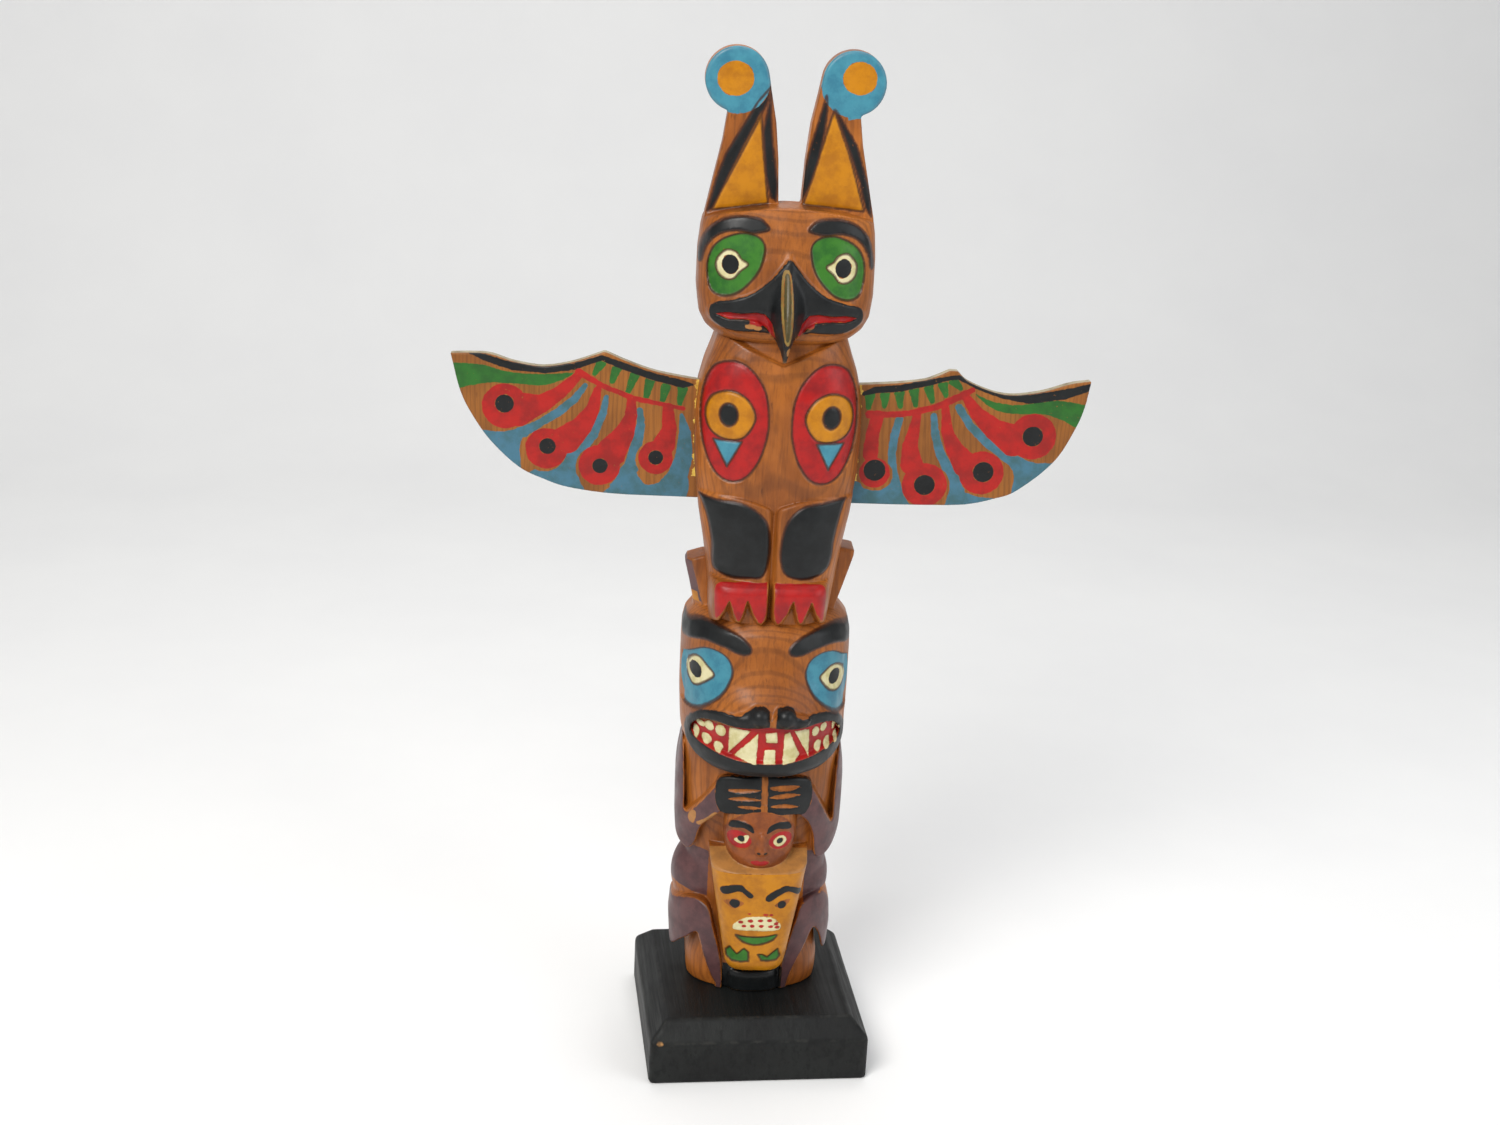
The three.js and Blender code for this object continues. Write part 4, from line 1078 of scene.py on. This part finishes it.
def growth_rings(n, centre, scale):
    """Rings round a trunk's axis a little behind the block, seen wherever the knife cuts across."""
    spread = n.new("ShaderNodeSeparateXYZ")
    n.feed(spread.inputs[0], n.place)
    warp = n.math("MULTIPLY", n.math("SUBTRACT", n.noise(14, 2, n.stretched((1, 1, 0.25))), 0.5), 0.03)
    dx = n.math("ADD", n.math("SUBTRACT", spread.outputs[0], centre[0]), warp)
    dy = n.math("SUBTRACT", spread.outputs[1], centre[1])
    radius = n.math("SQRT", n.math("ADD", n.math("MULTIPLY", dx, dx), n.math("MULTIPLY", dy, dy)))
    tapered = n.math("ADD", radius, n.math("MULTIPLY", spread.outputs[2], 0.02))
    return n.math("MULTIPLY_ADD", n.math("SINE", n.math("MULTIPLY", tapered, scale)), 0.5)


def cedar(n, light, dark, stain):
    """Stained cedar: rings, fine streaks along the grain, blotches of stain and small dark flecks."""
    rings = growth_rings(n, (0.004, 0.075), 4200)
    streaks = n.noise(900, 4, n.stretched((1, 1, 0.06)), 0.7)
    blotches = n.noise(42, 4, n.stretched((1, 1, 0.5)), 0.6)
    colour = n.mix(n.ramp(blotches, 0.34, 0.66), light, dark)
    colour = n.mix(n.math("MULTIPLY", n.ramp(streaks, 0.42, 0.72), 0.38), colour, stain)
    colour = n.mix(n.math("MULTIPLY", n.ramp(rings, 0.55, 1.0), 0.3), colour, stain)
    flecks = n.ramp(n.noise(330, 2, n.stretched((1, 1, 0.45))), 0.68, 0.78)
    return n.mix(n.math("MULTIPLY", flecks, 0.5), colour, stain), streaks


def painted_wood(name, light, dark, stain, colours, paints=PAINTS, gloss=0.36):
    """Stained wood with coats of paint whose edges are the distances kept on the vertices, and painted shade
    that darkens its hollows.
    """
    n = Nodes(name)
    colour, streaks = cedar(n, light, dark, stain)
    wobble = n.math("MULTIPLY", n.math("SUBTRACT", n.noise(520, 3), 0.5), 0.9)
    mottle = n.noise(150, 5, None, 0.65)
    chips = n.ramp(n.noise(700, 3, None, 0.7), 0.66, 0.74)
    hollow = n.attribute("hollow")
    edge_wear = n.math("MULTIPLY", n.ramp(hollow, -0.10, -0.30), n.ramp(mottle, 0.42, 0.62))
    covered = 0.0
    for c in colours:
        first, second = paints[c]
        distance_in = n.math("ADD", n.attribute("paint_" + c), wobble)
        coat = n.ramp(distance_in, 0.14, -0.14)
        chipped = n.math("MULTIPLY", chips, n.ramp(distance_in, -1.4, -0.2, 0, 0.8))
        coat = n.math("MULTIPLY", coat, n.math("SUBTRACT", 1.0, chipped))
        shade = n.mix(n.ramp(mottle, 0.36, 0.68), first, second)
        colour = n.mix(coat, colour, shade)
        covered = n.math("MAXIMUM", covered, coat)
    worn = n.mix(n.ramp(n.noise(260, 2), 0.4, 0.6), rgb(206, 150, 84), rgb(168, 112, 58))
    colour = n.mix(n.math("MULTIPLY", edge_wear, 0.4), colour, worn)
    line = n.ramp(n.math("ADD", n.attribute("paint_line"), n.math("MULTIPLY", wobble, 0.5)), 0.75, 0.15)
    colour = n.mix(n.math("MULTIPLY", line, 0.85), colour, rgb(56, 26, 12))
    # painted shade: the hollows of the carving are darkened towards dark brown, standing in for the shade
    # that falls in them
    painted_shade = n.math("MULTIPLY", n.ramp(hollow, 0.12, 0.42), 0.5)
    colour = n.mix(painted_shade, colour, rgb(46, 24, 12))
    rough = n.ramp(n.noise(95, 4), 0.3, 0.7, gloss, gloss + 0.22)
    height = n.math("ADD", n.math("MULTIPLY", streaks, 0.6), n.math("MULTIPLY", covered, 0.35))
    normal = n.bump(n.noise(110, 2), 0.35, 0.5, n.bump(height, 0.4, 0.12))
    return n.finish(colour, rough, normal, 0.15)


def black_board(name):
    """The base: charcoal paint over open grain that runs from front to back, worn at its edges."""
    n = Nodes(name)
    grain = n.noise(420, 4, n.stretched((1, 0.035, 0.6)), 0.7)
    broad = n.noise(60, 3, n.stretched((1, 0.12, 1)))
    colour = n.mix(n.ramp(broad, 0.3, 0.7), rgb(13, 14, 14), rgb(23, 25, 24))
    colour = n.mix(n.math("MULTIPLY", n.ramp(grain, 0.52, 0.66), 0.8), colour, rgb(13, 14, 14))
    dust = n.ramp(n.noise(240, 5, None, 0.75), 0.58, 0.8, 0, 0.25)
    colour = n.mix(dust, colour, rgb(54, 56, 53))
    wear = n.math("MULTIPLY", n.ramp(n.attribute("rim"), 0.9, 0.1), n.ramp(n.noise(190, 4), 0.44, 0.62))
    colour = n.mix(n.math("MULTIPLY", wear, 0.4), colour, rgb(62, 61, 57))
    chip = n.math("MULTIPLY", n.ramp(n.attribute("rim"), 1.1, 0.2), n.ramp(n.noise(75, 3), 0.70, 0.75))
    colour = n.mix(chip, colour, rgb(190, 140, 84))
    spots = n.ramp(n.noise(130, 1), 0.85, 0.87)
    colour = n.mix(spots, colour, rgb(200, 150, 100))
    rough = n.ramp(grain, 0.3, 0.7, 0.42, 0.66)
    normal = n.bump(n.noise(70, 3), 0.3, 0.4, n.bump(grain, 0.55, 0.25))
    return n.finish(colour, rough, normal)


def hollowness(obj):
    """How far each vertex lies below its neighbours, smoothed: positive in a hollow, negative on an edge."""
    mesh = obj.data
    count = len(mesh.vertices)
    ends = np.zeros(len(mesh.edges) * 2, np.int32)
    mesh.edges.foreach_get("vertices", ends)
    a, b = ends.reshape(-1, 2).T
    points = points_of(obj)
    normal = np.zeros(count * 3, np.float32)
    mesh.vertices.foreach_get("normal", normal)
    normal = normal.reshape(-1, 3)
    degree = np.bincount(a, minlength=count) + np.bincount(b, minlength=count)

    def spread(values):
        total = np.bincount(a, values[b], count) + np.bincount(b, values[a], count)
        return total / np.maximum(degree, 1)

    blurred = points.copy()
    for _ in range(3):
        blurred = np.column_stack([spread(blurred[:, i]) for i in range(3)])
    bend = ((blurred - points) * normal).sum(1)
    for _ in range(2):
        bend = 0.5 * bend + 0.5 * spread(bend)
    made = mesh.attributes.new("hollow", "FLOAT", "POINT")
    made.data.foreach_set("value", bend.astype(np.float32))


# ---------------------------------------------------------------- the carved pole

def show(obj, material, slot, *nodes):
    obj.data.materials.clear()
    obj.data.materials.append(material)
    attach(obj, "root")
    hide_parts(*nodes)
    return obj


def make_figure(name, paints, material):
    low, high, _ = FIGURES[name]
    xs = axis(-38, 38, CELL)
    ys = axis(-38.5, 20.8, CELL)
    zs = axis(low - 1.5, high + 1.5, CELL)
    points, quads = surface(figure_field(name, xs, ys, zs), (xs, ys, zs))
    obj = mesh_object(name, points, quads)
    paint = Paint(points)
    for coat in paints:
        coat(paint)
    paint.store(obj)
    set_points(obj, turned(points + (0, 1, 0) * hand_cut(points, 0.07, 3)[:, None]))
    hollowness(obj)
    return show(obj, material, "carved_wood", "pole")


def set_points(obj, points):
    obj.data.vertices.foreach_set("co", (points * MM).astype(np.float32).ravel())
    obj.data.update()


# ---------------------------------------------------------------- wings

# Distances are from the pole's axis, so both wings read left to right from root to tip.
WINGS = {
    "left": {
        "shoulder": [(24, 275.6), (31.7, 276.0), (46.8, 278.5), (57.7, 282.0), (65.6, 285.2)],
        "top": [
            (66.8, 285.4), (70.4, 284.0), (79.1, 280.9), (89.7, 279.1), (100.4, 280.5), (109.6, 283.2),
            (117.5, 283.4), (124.3, 283.1),
        ],
        "low": [
            (123.8, 281), (120.9, 269.6), (117, 261), (109, 249.4), (98.2, 239.4), (88.9, 235.0),
            (80.2, 232.1), (67.1, 230.2), (54, 229.6), (24, 229.2),
        ],
        "discs": [(103.7, 263.4, 8.7), (87.8, 247.2, 8.0), (67.5, 241.2, 8.0), (46.0, 244.9, 6.6)],
        "pupils": [(103.9, 264.3, 3.6), (87.4, 248.1, 3.2), (67.2, 240.9, 3.0), (46.0, 244.9, 2.9)],
        "tails": [
            [(98.5, 262.5, 7.0), (90.1, 264.6, 3.6), (83.2, 269.2, 2.6), (76.4, 275.9, 1.7)],
            [(80.1, 251.1, 5.6), (74.6, 256.4, 4.0), (70.5, 263.1, 2.6), (68.9, 270.8, 1.5)],
            [(63.1, 246.5, 5.9), (58.3, 254.0, 3.8), (56.0, 260.7, 2.4), (55.9, 267.0, 1.8)],
            [(43.0, 250.1, 4.3), (41.1, 256.1, 2.9), (41.9, 264.2, 2.1)],
        ],
        "bar": [(76.1, 277.5, 1.4), (67.2, 272.6, 1.0), (55.2, 268.0, 1.0), (36.1, 264.6, 0.8)],
        "quills": [
            [
                (73.5, 272.4, 1.0), (77.6, 266.8, 1.5), (83.1, 261.9, 1.7), (90.0, 257.4, 1.5),
                (96.3, 253.5, 2.1),
            ],
            [
                (65.4, 268.0, 1.0), (66.6, 261.8, 1.5), (69.9, 253.6, 1.8), (75.1, 246.9, 2.4),
                (81.3, 240.1, 2.8), (88.3, 236.1, 2.1),
            ],
            [
                (52.6, 263.3, 1.3), (52.1, 257.2, 1.7), (53.8, 248.3, 2.4), (55.1, 240.9, 2.9),
                (59.9, 234.1, 3.6),
            ],
            [
                (36.7, 262.0, 0.8), (35.2, 254.8, 2.4), (35.1, 246.0, 3.3), (37.3, 237.8, 3.8),
                (44.2, 232.3, 2.1),
            ],
        ],
        "pools": [
            [
                (114.5, 253.8), (104.0, 253.2), (96.3, 256.1), (92.8, 255.4), (97.0, 251.3),
                (98.0, 246.1), (98.2, 236), (112, 243), (120, 250),
            ],
            [
                (93.6, 238.0), (86.9, 238.8), (79.9, 241.6), (75.7, 243.9), (76.0, 238.7),
                (74.4, 233.6), (72.6, 226), (98, 226),
            ],
            [
                (66.2, 230.1), (61.3, 234.0), (54.4, 239.4), (52.5, 237.3), (49.6, 234.0),
                (44.3, 235.3), (38.1, 241.4), (32.9, 235.7), (37.7, 226), (66, 226),
            ],
        ],
        "green": [
            (127, 278.5), (118.1, 279.4), (111.2, 279.0), (102.8, 276.8), (90.3, 276.3), (78.5, 277.1),
            (80.5, 275.2), (88.8, 271.9), (98.6, 272.1), (111.1, 272.2), (127, 269.0),
        ],
        "black": [
            (117.7, 283.8, 0.3), (111.2, 281.9, 1.3), (100.8, 278.8, 1.5), (88.9, 277.9, 1.3),
            (77.8, 279.6, 1.3), (67.5, 283.3, 1.0), (62.6, 281.5, 1.3), (48.5, 276.8, 1.4),
            (36.5, 274.2, 1.5), (32.6, 274.1, 0.3),
        ],
        "wedges": [
            (67.8, 281.2, 70.1, 277.2), (61.8, 279.6, 63.4, 274.2), (54.8, 277.3, 57.4, 270.4),
            (49.1, 275.0, 50.6, 268.1), (43.1, 272.7, 44.3, 267.2), (36.7, 272.2, 37.6, 266.4),
        ],
    },
    "right": {
        "shoulder": [(24, 275.8), (32.5, 276.2), (44.5, 277.1), (55.0, 278.5), (60.1, 280.3), (65.2, 282.7)],
        "top": [
            (68.0, 282.6), (72.6, 278.6), (82.7, 274.8), (91.3, 273.9), (101.8, 275.7), (112.1, 279.0),
            (119.9, 280.3),
        ],
        "low": [
            (119.4, 277), (118.2, 269.8), (115.4, 261.4), (108.1, 247.8), (94.6, 235.8), (85.6, 232.2),
            (77.2, 230.0), (68.7, 229.2), (47.3, 228.8), (24, 228.8),
        ],
        "discs": [(99.0, 257.9, 9.1), (80.2, 242.8, 8.7), (58.4, 237.2, 8.8), (38.6, 241.5, 6.0)],
        "pupils": [(99.0, 258.0, 4.0), (80.9, 243.1, 4.1), (58.4, 237.2, 4.1), (38.6, 242.5, 4.3)],
        "tails": [
            [(91.8, 256.3, 6.4), (84.1, 260.2, 4.2), (76.9, 266.1, 2.8), (71.7, 272.8, 1.6)],
            [(73.8, 246.0, 5.1), (69.4, 251.4, 3.5), (65.8, 258.2, 2.4), (64.2, 268.0, 1.5)],
            [(52.8, 245.4, 4.4), (51.6, 252.2, 3.1), (52.8, 259.1, 2.2), (53.6, 265.6, 1.6)],
            [(36.5, 249.0, 3.0), (36.9, 257.3, 2.6), (38.5, 264.1, 2.4)],
        ],
        "bar": [
            (74.1, 275.5, 1.1), (69.7, 273.0, 1.5), (60.7, 268.4, 1.3), (50.3, 265.6, 1.2),
            (42.4, 264.8, 1.2), (35.1, 264.7, 1.6),
        ],
        "quills": [
            [
                (69.4, 268.6, 1.5), (74.6, 261.2, 1.6), (81.9, 254.6, 1.8), (89.0, 250.0, 2.2),
                (96.1, 246.1, 2.7),
            ],
            [
                (60.0, 264.9, 1.2), (61.0, 258.0, 1.6), (63.6, 249.9, 1.8), (68.1, 242.4, 2.4),
                (71.3, 235.5, 3.1),
            ],
            [
                (46.8, 263.1, 1.5), (45.3, 256.2, 1.6), (44.8, 249.3, 1.5), (45.8, 241.7, 1.8),
                (46.8, 234.8, 3.1),
            ],
        ],
        "pools": [
            [
                (88.9, 251.0), (95.8, 248.5), (102.7, 247.3), (112, 246.8), (112, 236), (93.9, 231),
                (93.1, 241.8), (90.6, 246.6),
            ],
            [(68.2, 241.0), (72.7, 235.6), (79.6, 233.3), (88, 231.8), (88, 226), (68.1, 226), (68.1, 234.7)],
            [
                (24, 237.6), (32.2, 237.8), (35.0, 235.1), (39.7, 234.5), (44.3, 237.5), (48.6, 238.3),
                (50.6, 232.8), (55.0, 226), (24, 226),
            ],
        ],
        "green": [
            (75.3, 274.1), (83.2, 271.1), (93.9, 270.3), (106.4, 272.6), (122, 269.4), (122, 260),
            (115.1, 262.2), (110.5, 264.5), (102.2, 267.0), (93.6, 266.7), (83.4, 268.0),
        ],
        "black": [
            (119.6, 278.1, 1.3), (109.5, 275.0, 2.0), (96.4, 272.6, 1.7), (86.3, 273.6, 1.1),
            (76.0, 277.0, 1.1), (68.4, 280.4, 0.9), (65.2, 280.0, 0.9), (56.1, 277.6, 1.2),
            (46.3, 275.3, 1.3), (36.5, 274.3, 1.3), (32.6, 272.8, 0.8),
        ],
        "wedges": [
            (34.9, 272.2, 34.6, 267.4), (40.6, 273.0, 40.7, 268.0), (46.1, 273.6, 46.8, 268.2),
            (51.6, 274.8, 52.7, 269.0), (57.2, 276.0, 58.9, 270.6), (62.7, 277.2, 64.0, 273.2),
            (66.6, 279.0, 69.4, 276.1),
        ],
    },
}
WING_PAINTS = {
    **PAINTS,
    "pale": (rgb(168, 158, 130), rgb(124, 110, 82)),
    "green": (rgb(40, 100, 32), rgb(34, 82, 30)),
    "blue": (rgb(64, 108, 128), rgb(56, 92, 98)),
    "red": (rgb(168, 24, 18), rgb(138, 22, 18)),
    "cream": (rgb(222, 190, 84), rgb(188, 142, 50)),
}


def paint_wing(paint, wing, outline):
    front = WING_FRONT + 0.5
    feathers = [paint.disc(x, z, r) for x, z, r in wing["discs"]]
    feathers += [paint.stroke(tail) for tail in wing["tails"]]
    red = np.minimum.reduce(feathers)
    paint.coat("blue", [smooth(pool, 3) for pool in wing["pools"]], front)
    for quill in wing["quills"]:
        paint.lay("blue", paint.stroke(quill), front)
    for x, z, r in wing["discs"][1:]:
        paint.lay("wood", paint.disc(x + 0.8, z - 0.8, r + 0.35), front)
    paint.coat("green", [smooth(wing["green"], 3)], front)
    for ax, az, bx, bz in wing["wedges"]:
        paint.lay("green", paint.stroke([(ax, az, 2.0), (bx, bz, 1.0)]), front)
    paint.lay("black", paint.stroke(wing["black"]), front)
    paint.lay("red", np.minimum(red, paint.stroke(wing["bar"])), front)
    for x, z, r in wing["pupils"]:
        paint.lay("black", paint.disc(x, z, r), front)
    edge = paint.y - front - 0.4
    paint.lay("pale", np.maximum(-edge, -paint.inside([outline]) - 1.1) + 1.5 * (paint.z < 262), FAR)
    wander = 0.9 * np.sin(paint.z * 0.9) + 0.5 * np.sin(paint.z * 2.3 + 1) + 0.4 * np.sin(paint.z * 5.1)
    paint.lay("cream", np.maximum(paint.x - 31.5 - 0.5 * wander, np.abs(paint.z - 257) - 19), front + 1)


def make_wing(name, material):
    wing = WINGS[name]
    side = 1 if name == "right" else -1
    outline = np.vstack([curve(wing[edge]) for edge in ("shoulder", "top", "low")])
    step = CELL * 0.8
    xs, ys, zs = axis(24, 127, step), axis(WING_FRONT - 1.2, WING_BACK + 1.2, step), axis(226, 288, step)
    w = Window(xs, ys, zs)
    shape = np.maximum(w.flat(outline), 26 - w.x)
    slab = np.maximum(WING_FRONT - w.y, w.y - WING_BACK)
    points, quads = surface(soft_max(shape, slab, 0.5).astype(np.float32), (xs, ys, zs))
    paint = Paint(points)
    paint_wing(paint, wing, outline)
    points = points + (0, 1, 0) * hand_cut(points, 0.06, 5, (8, 22))[:, None]
    if side < 0:
        points, quads = points * (-1, 1, 1), quads[:, ::-1]
    obj = mesh_object(f"{name}_wing_board", turned(points), quads)
    paint.store(obj)
    hollowness(obj)
    return show(obj, material, "wing_paint", f"{name}_wing")


# ---------------------------------------------------------------- base

def make_base():
    step = CELL * 1.5
    side = axis(-BASE_HALF - 2 * step, BASE_HALF + 2 * step, step)
    zs = axis(-2 * step, BASE_TOP + 2 * step, step)
    w = Window(side, side, zs)
    wide, high = BASE_BEVEL
    ax, ay = np.abs(w.x), np.abs(w.y)
    slope = math.hypot(wide, high)
    faces = [ax - BASE_HALF, ay - BASE_HALF, w.z - BASE_TOP, -w.z]
    for along_axis in (ax, ay):
        faces.append(((along_axis - BASE_HALF) * high + (w.z - BASE_TOP + high) * wide) / slope)
    solid = soft_max(faces[0], faces[1], 2.2)
    for face in faces[2:]:
        solid = soft_max(solid, face, 0.9)
    points, quads = surface((solid + 0 * w.y).astype(np.float32), (side, side, zs))
    x, y, z = np.abs(points).T
    bevels = [((a - BASE_HALF) * high + (z - BASE_TOP + high) * wide) / slope for a in (x, y)]
    depths = [BASE_HALF - x, BASE_HALF - y, BASE_TOP - z, z, -bevels[0], -bevels[1]]
    near = np.sort(np.column_stack(depths), 1)
    uneven = hand_cut(points, 0.05, 9, (10, 30)) * (z > 3)
    obj = mesh_object("base_board", points + (0, 0, 1) * uneven[:, None], quads)
    made = obj.data.attributes.new("rim", "FLOAT", "POINT")
    made.data.foreach_set("value", near[:, 1].astype(np.float32))
    return show(obj, black_board("charcoal paint"), "base_paint", "base")


# ---------------------------------------------------------------- studio

CAMERA_AT = Vector((-0.1131, -0.7722, 0.4697))
CAMERA_AZIMUTH, CAMERA_ELEVATION, CAMERA_ROLL = (math.radians(a) for a in (-7.779, 18.765, 2.822))
CAMERA_LENS = 50.81

# For each light its place, what it is aimed at, its size, its watts and its colour.
LIGHTS = {
    "key": ((-0.55, -0.75, 1.05), (0, 0, 0.2), 0.7, 13.5, (1, 0.98, 0.95)),
    "fill": ((0.85, -0.6, 0.6), (0, 0, 0.2), 0.9, 4.2, (0.95, 0.97, 1)),
    "top": ((0.1, 0.3, 1.2), (0, 0, 0.25), 0.8, 4.2, (1, 1, 1)),
}
SKY, SKY_STRENGTH = (0.93, 0.94, 0.96, 1), 0.4
FLOOR_FRONT, FLOOR_BACK, FLOOR_HALF, WALL_TOP = -1.6, 0.75, 2.6, 2.4
SWEEP_RADIUS, SWEEP_STEPS = 0.5, 24


def make_camera():
    az, el, roll = CAMERA_AZIMUTH, CAMERA_ELEVATION, CAMERA_ROLL
    back = Vector((math.sin(az) * math.cos(el), -math.cos(az) * math.cos(el), math.sin(el)))
    right = Vector((math.cos(az), math.sin(az), 0))
    up = back.cross(right)
    side = right * math.cos(roll) + up * math.sin(roll)
    top = up * math.cos(roll) - right * math.sin(roll)
    data = bpy.data.cameras.new("camera")
    data.sensor_width, data.lens, data.clip_start = 36, CAMERA_LENS, 0.01
    camera = bpy.data.objects.new("camera", data)
    place = Matrix((side, top, back)).transposed().to_4x4()
    place.translation = CAMERA_AT
    camera.matrix_world = place
    bpy.context.scene.collection.objects.link(camera)
    bpy.context.scene.camera = camera


def area_light(name, at, aim, size, watts, colour):
    data = bpy.data.lights.new(name, "AREA")
    data.shape, data.size, data.energy, data.color = "DISK", size, watts, colour
    light = bpy.data.objects.new(name, data)
    light.location = at
    light.rotation_euler = (Vector(at) - Vector(aim)).to_track_quat("Z", "Y").to_euler()
    bpy.context.scene.collection.objects.link(light)


def make_studio():
    world = bpy.data.worlds.new("studio")
    world.use_nodes = True
    background = world.node_tree.nodes["Background"]
    background.inputs[0].default_value = SKY
    background.inputs[1].default_value = SKY_STRENGTH
    bpy.context.scene.world = world
    bpy.context.scene.view_settings.view_transform = "Standard"
    for name, settings in LIGHTS.items():
        area_light(name, *settings)
    sweep = bpy.data.meshes.new("floor")
    rows = [(FLOOR_FRONT, 0.0), (FLOOR_BACK, 0.0)]
    for a in np.linspace(0.05, math.pi / 2, SWEEP_STEPS):
        rows.append((FLOOR_BACK + SWEEP_RADIUS * math.sin(a), SWEEP_RADIUS * (1 - math.cos(a))))
    rows.append((FLOOR_BACK + SWEEP_RADIUS, WALL_TOP))
    vertices = [(side * FLOOR_HALF, y, z) for y, z in rows for side in (-1, 1)]
    faces = [(2 * i, 2 * i + 1, 2 * i + 3, 2 * i + 2) for i in range(len(rows) - 1)]
    sweep.from_pydata(vertices, [], faces)
    sweep.shade_smooth()
    floor = bpy.data.objects.new("floor", sweep)
    bpy.context.scene.collection.objects.link(floor)
    n = Nodes("pale cloth")
    tone = n.mix(n.noise(9, 3), (0.84, 0.84, 0.84, 1), (0.9, 0.9, 0.89, 1))
    floor.data.materials.append(n.finish(tone, 0.9, n.bump(n.noise(900, 2), 0.2, 0.2)))


# ---------------------------------------------------------------- the whole scene

make_camera()
make_studio()
cedar_wood = painted_wood("carved cedar", rgb(172, 100, 34), rgb(132, 71, 20), rgb(66, 32, 10), COLOURS)
make_figure("bird_head", (paint_ears, paint_bird), cedar_wood)
make_figure("bird_body", (paint_body,), cedar_wood)
make_figure("bear_head", (paint_bear,), cedar_wood)
make_figure("bear_body", (paint_limbs, paint_copper, paint_human), cedar_wood)
wing_wood = painted_wood(
    "painted wing board", rgb(152, 94, 34), rgb(124, 74, 26), rgb(90, 50, 18),
    ("blue", "green", "black", "red", "cream", "pale"), WING_PAINTS, 0.4,
)
make_wing("left", wing_wood)
make_wing("right", wing_wood)
make_base()
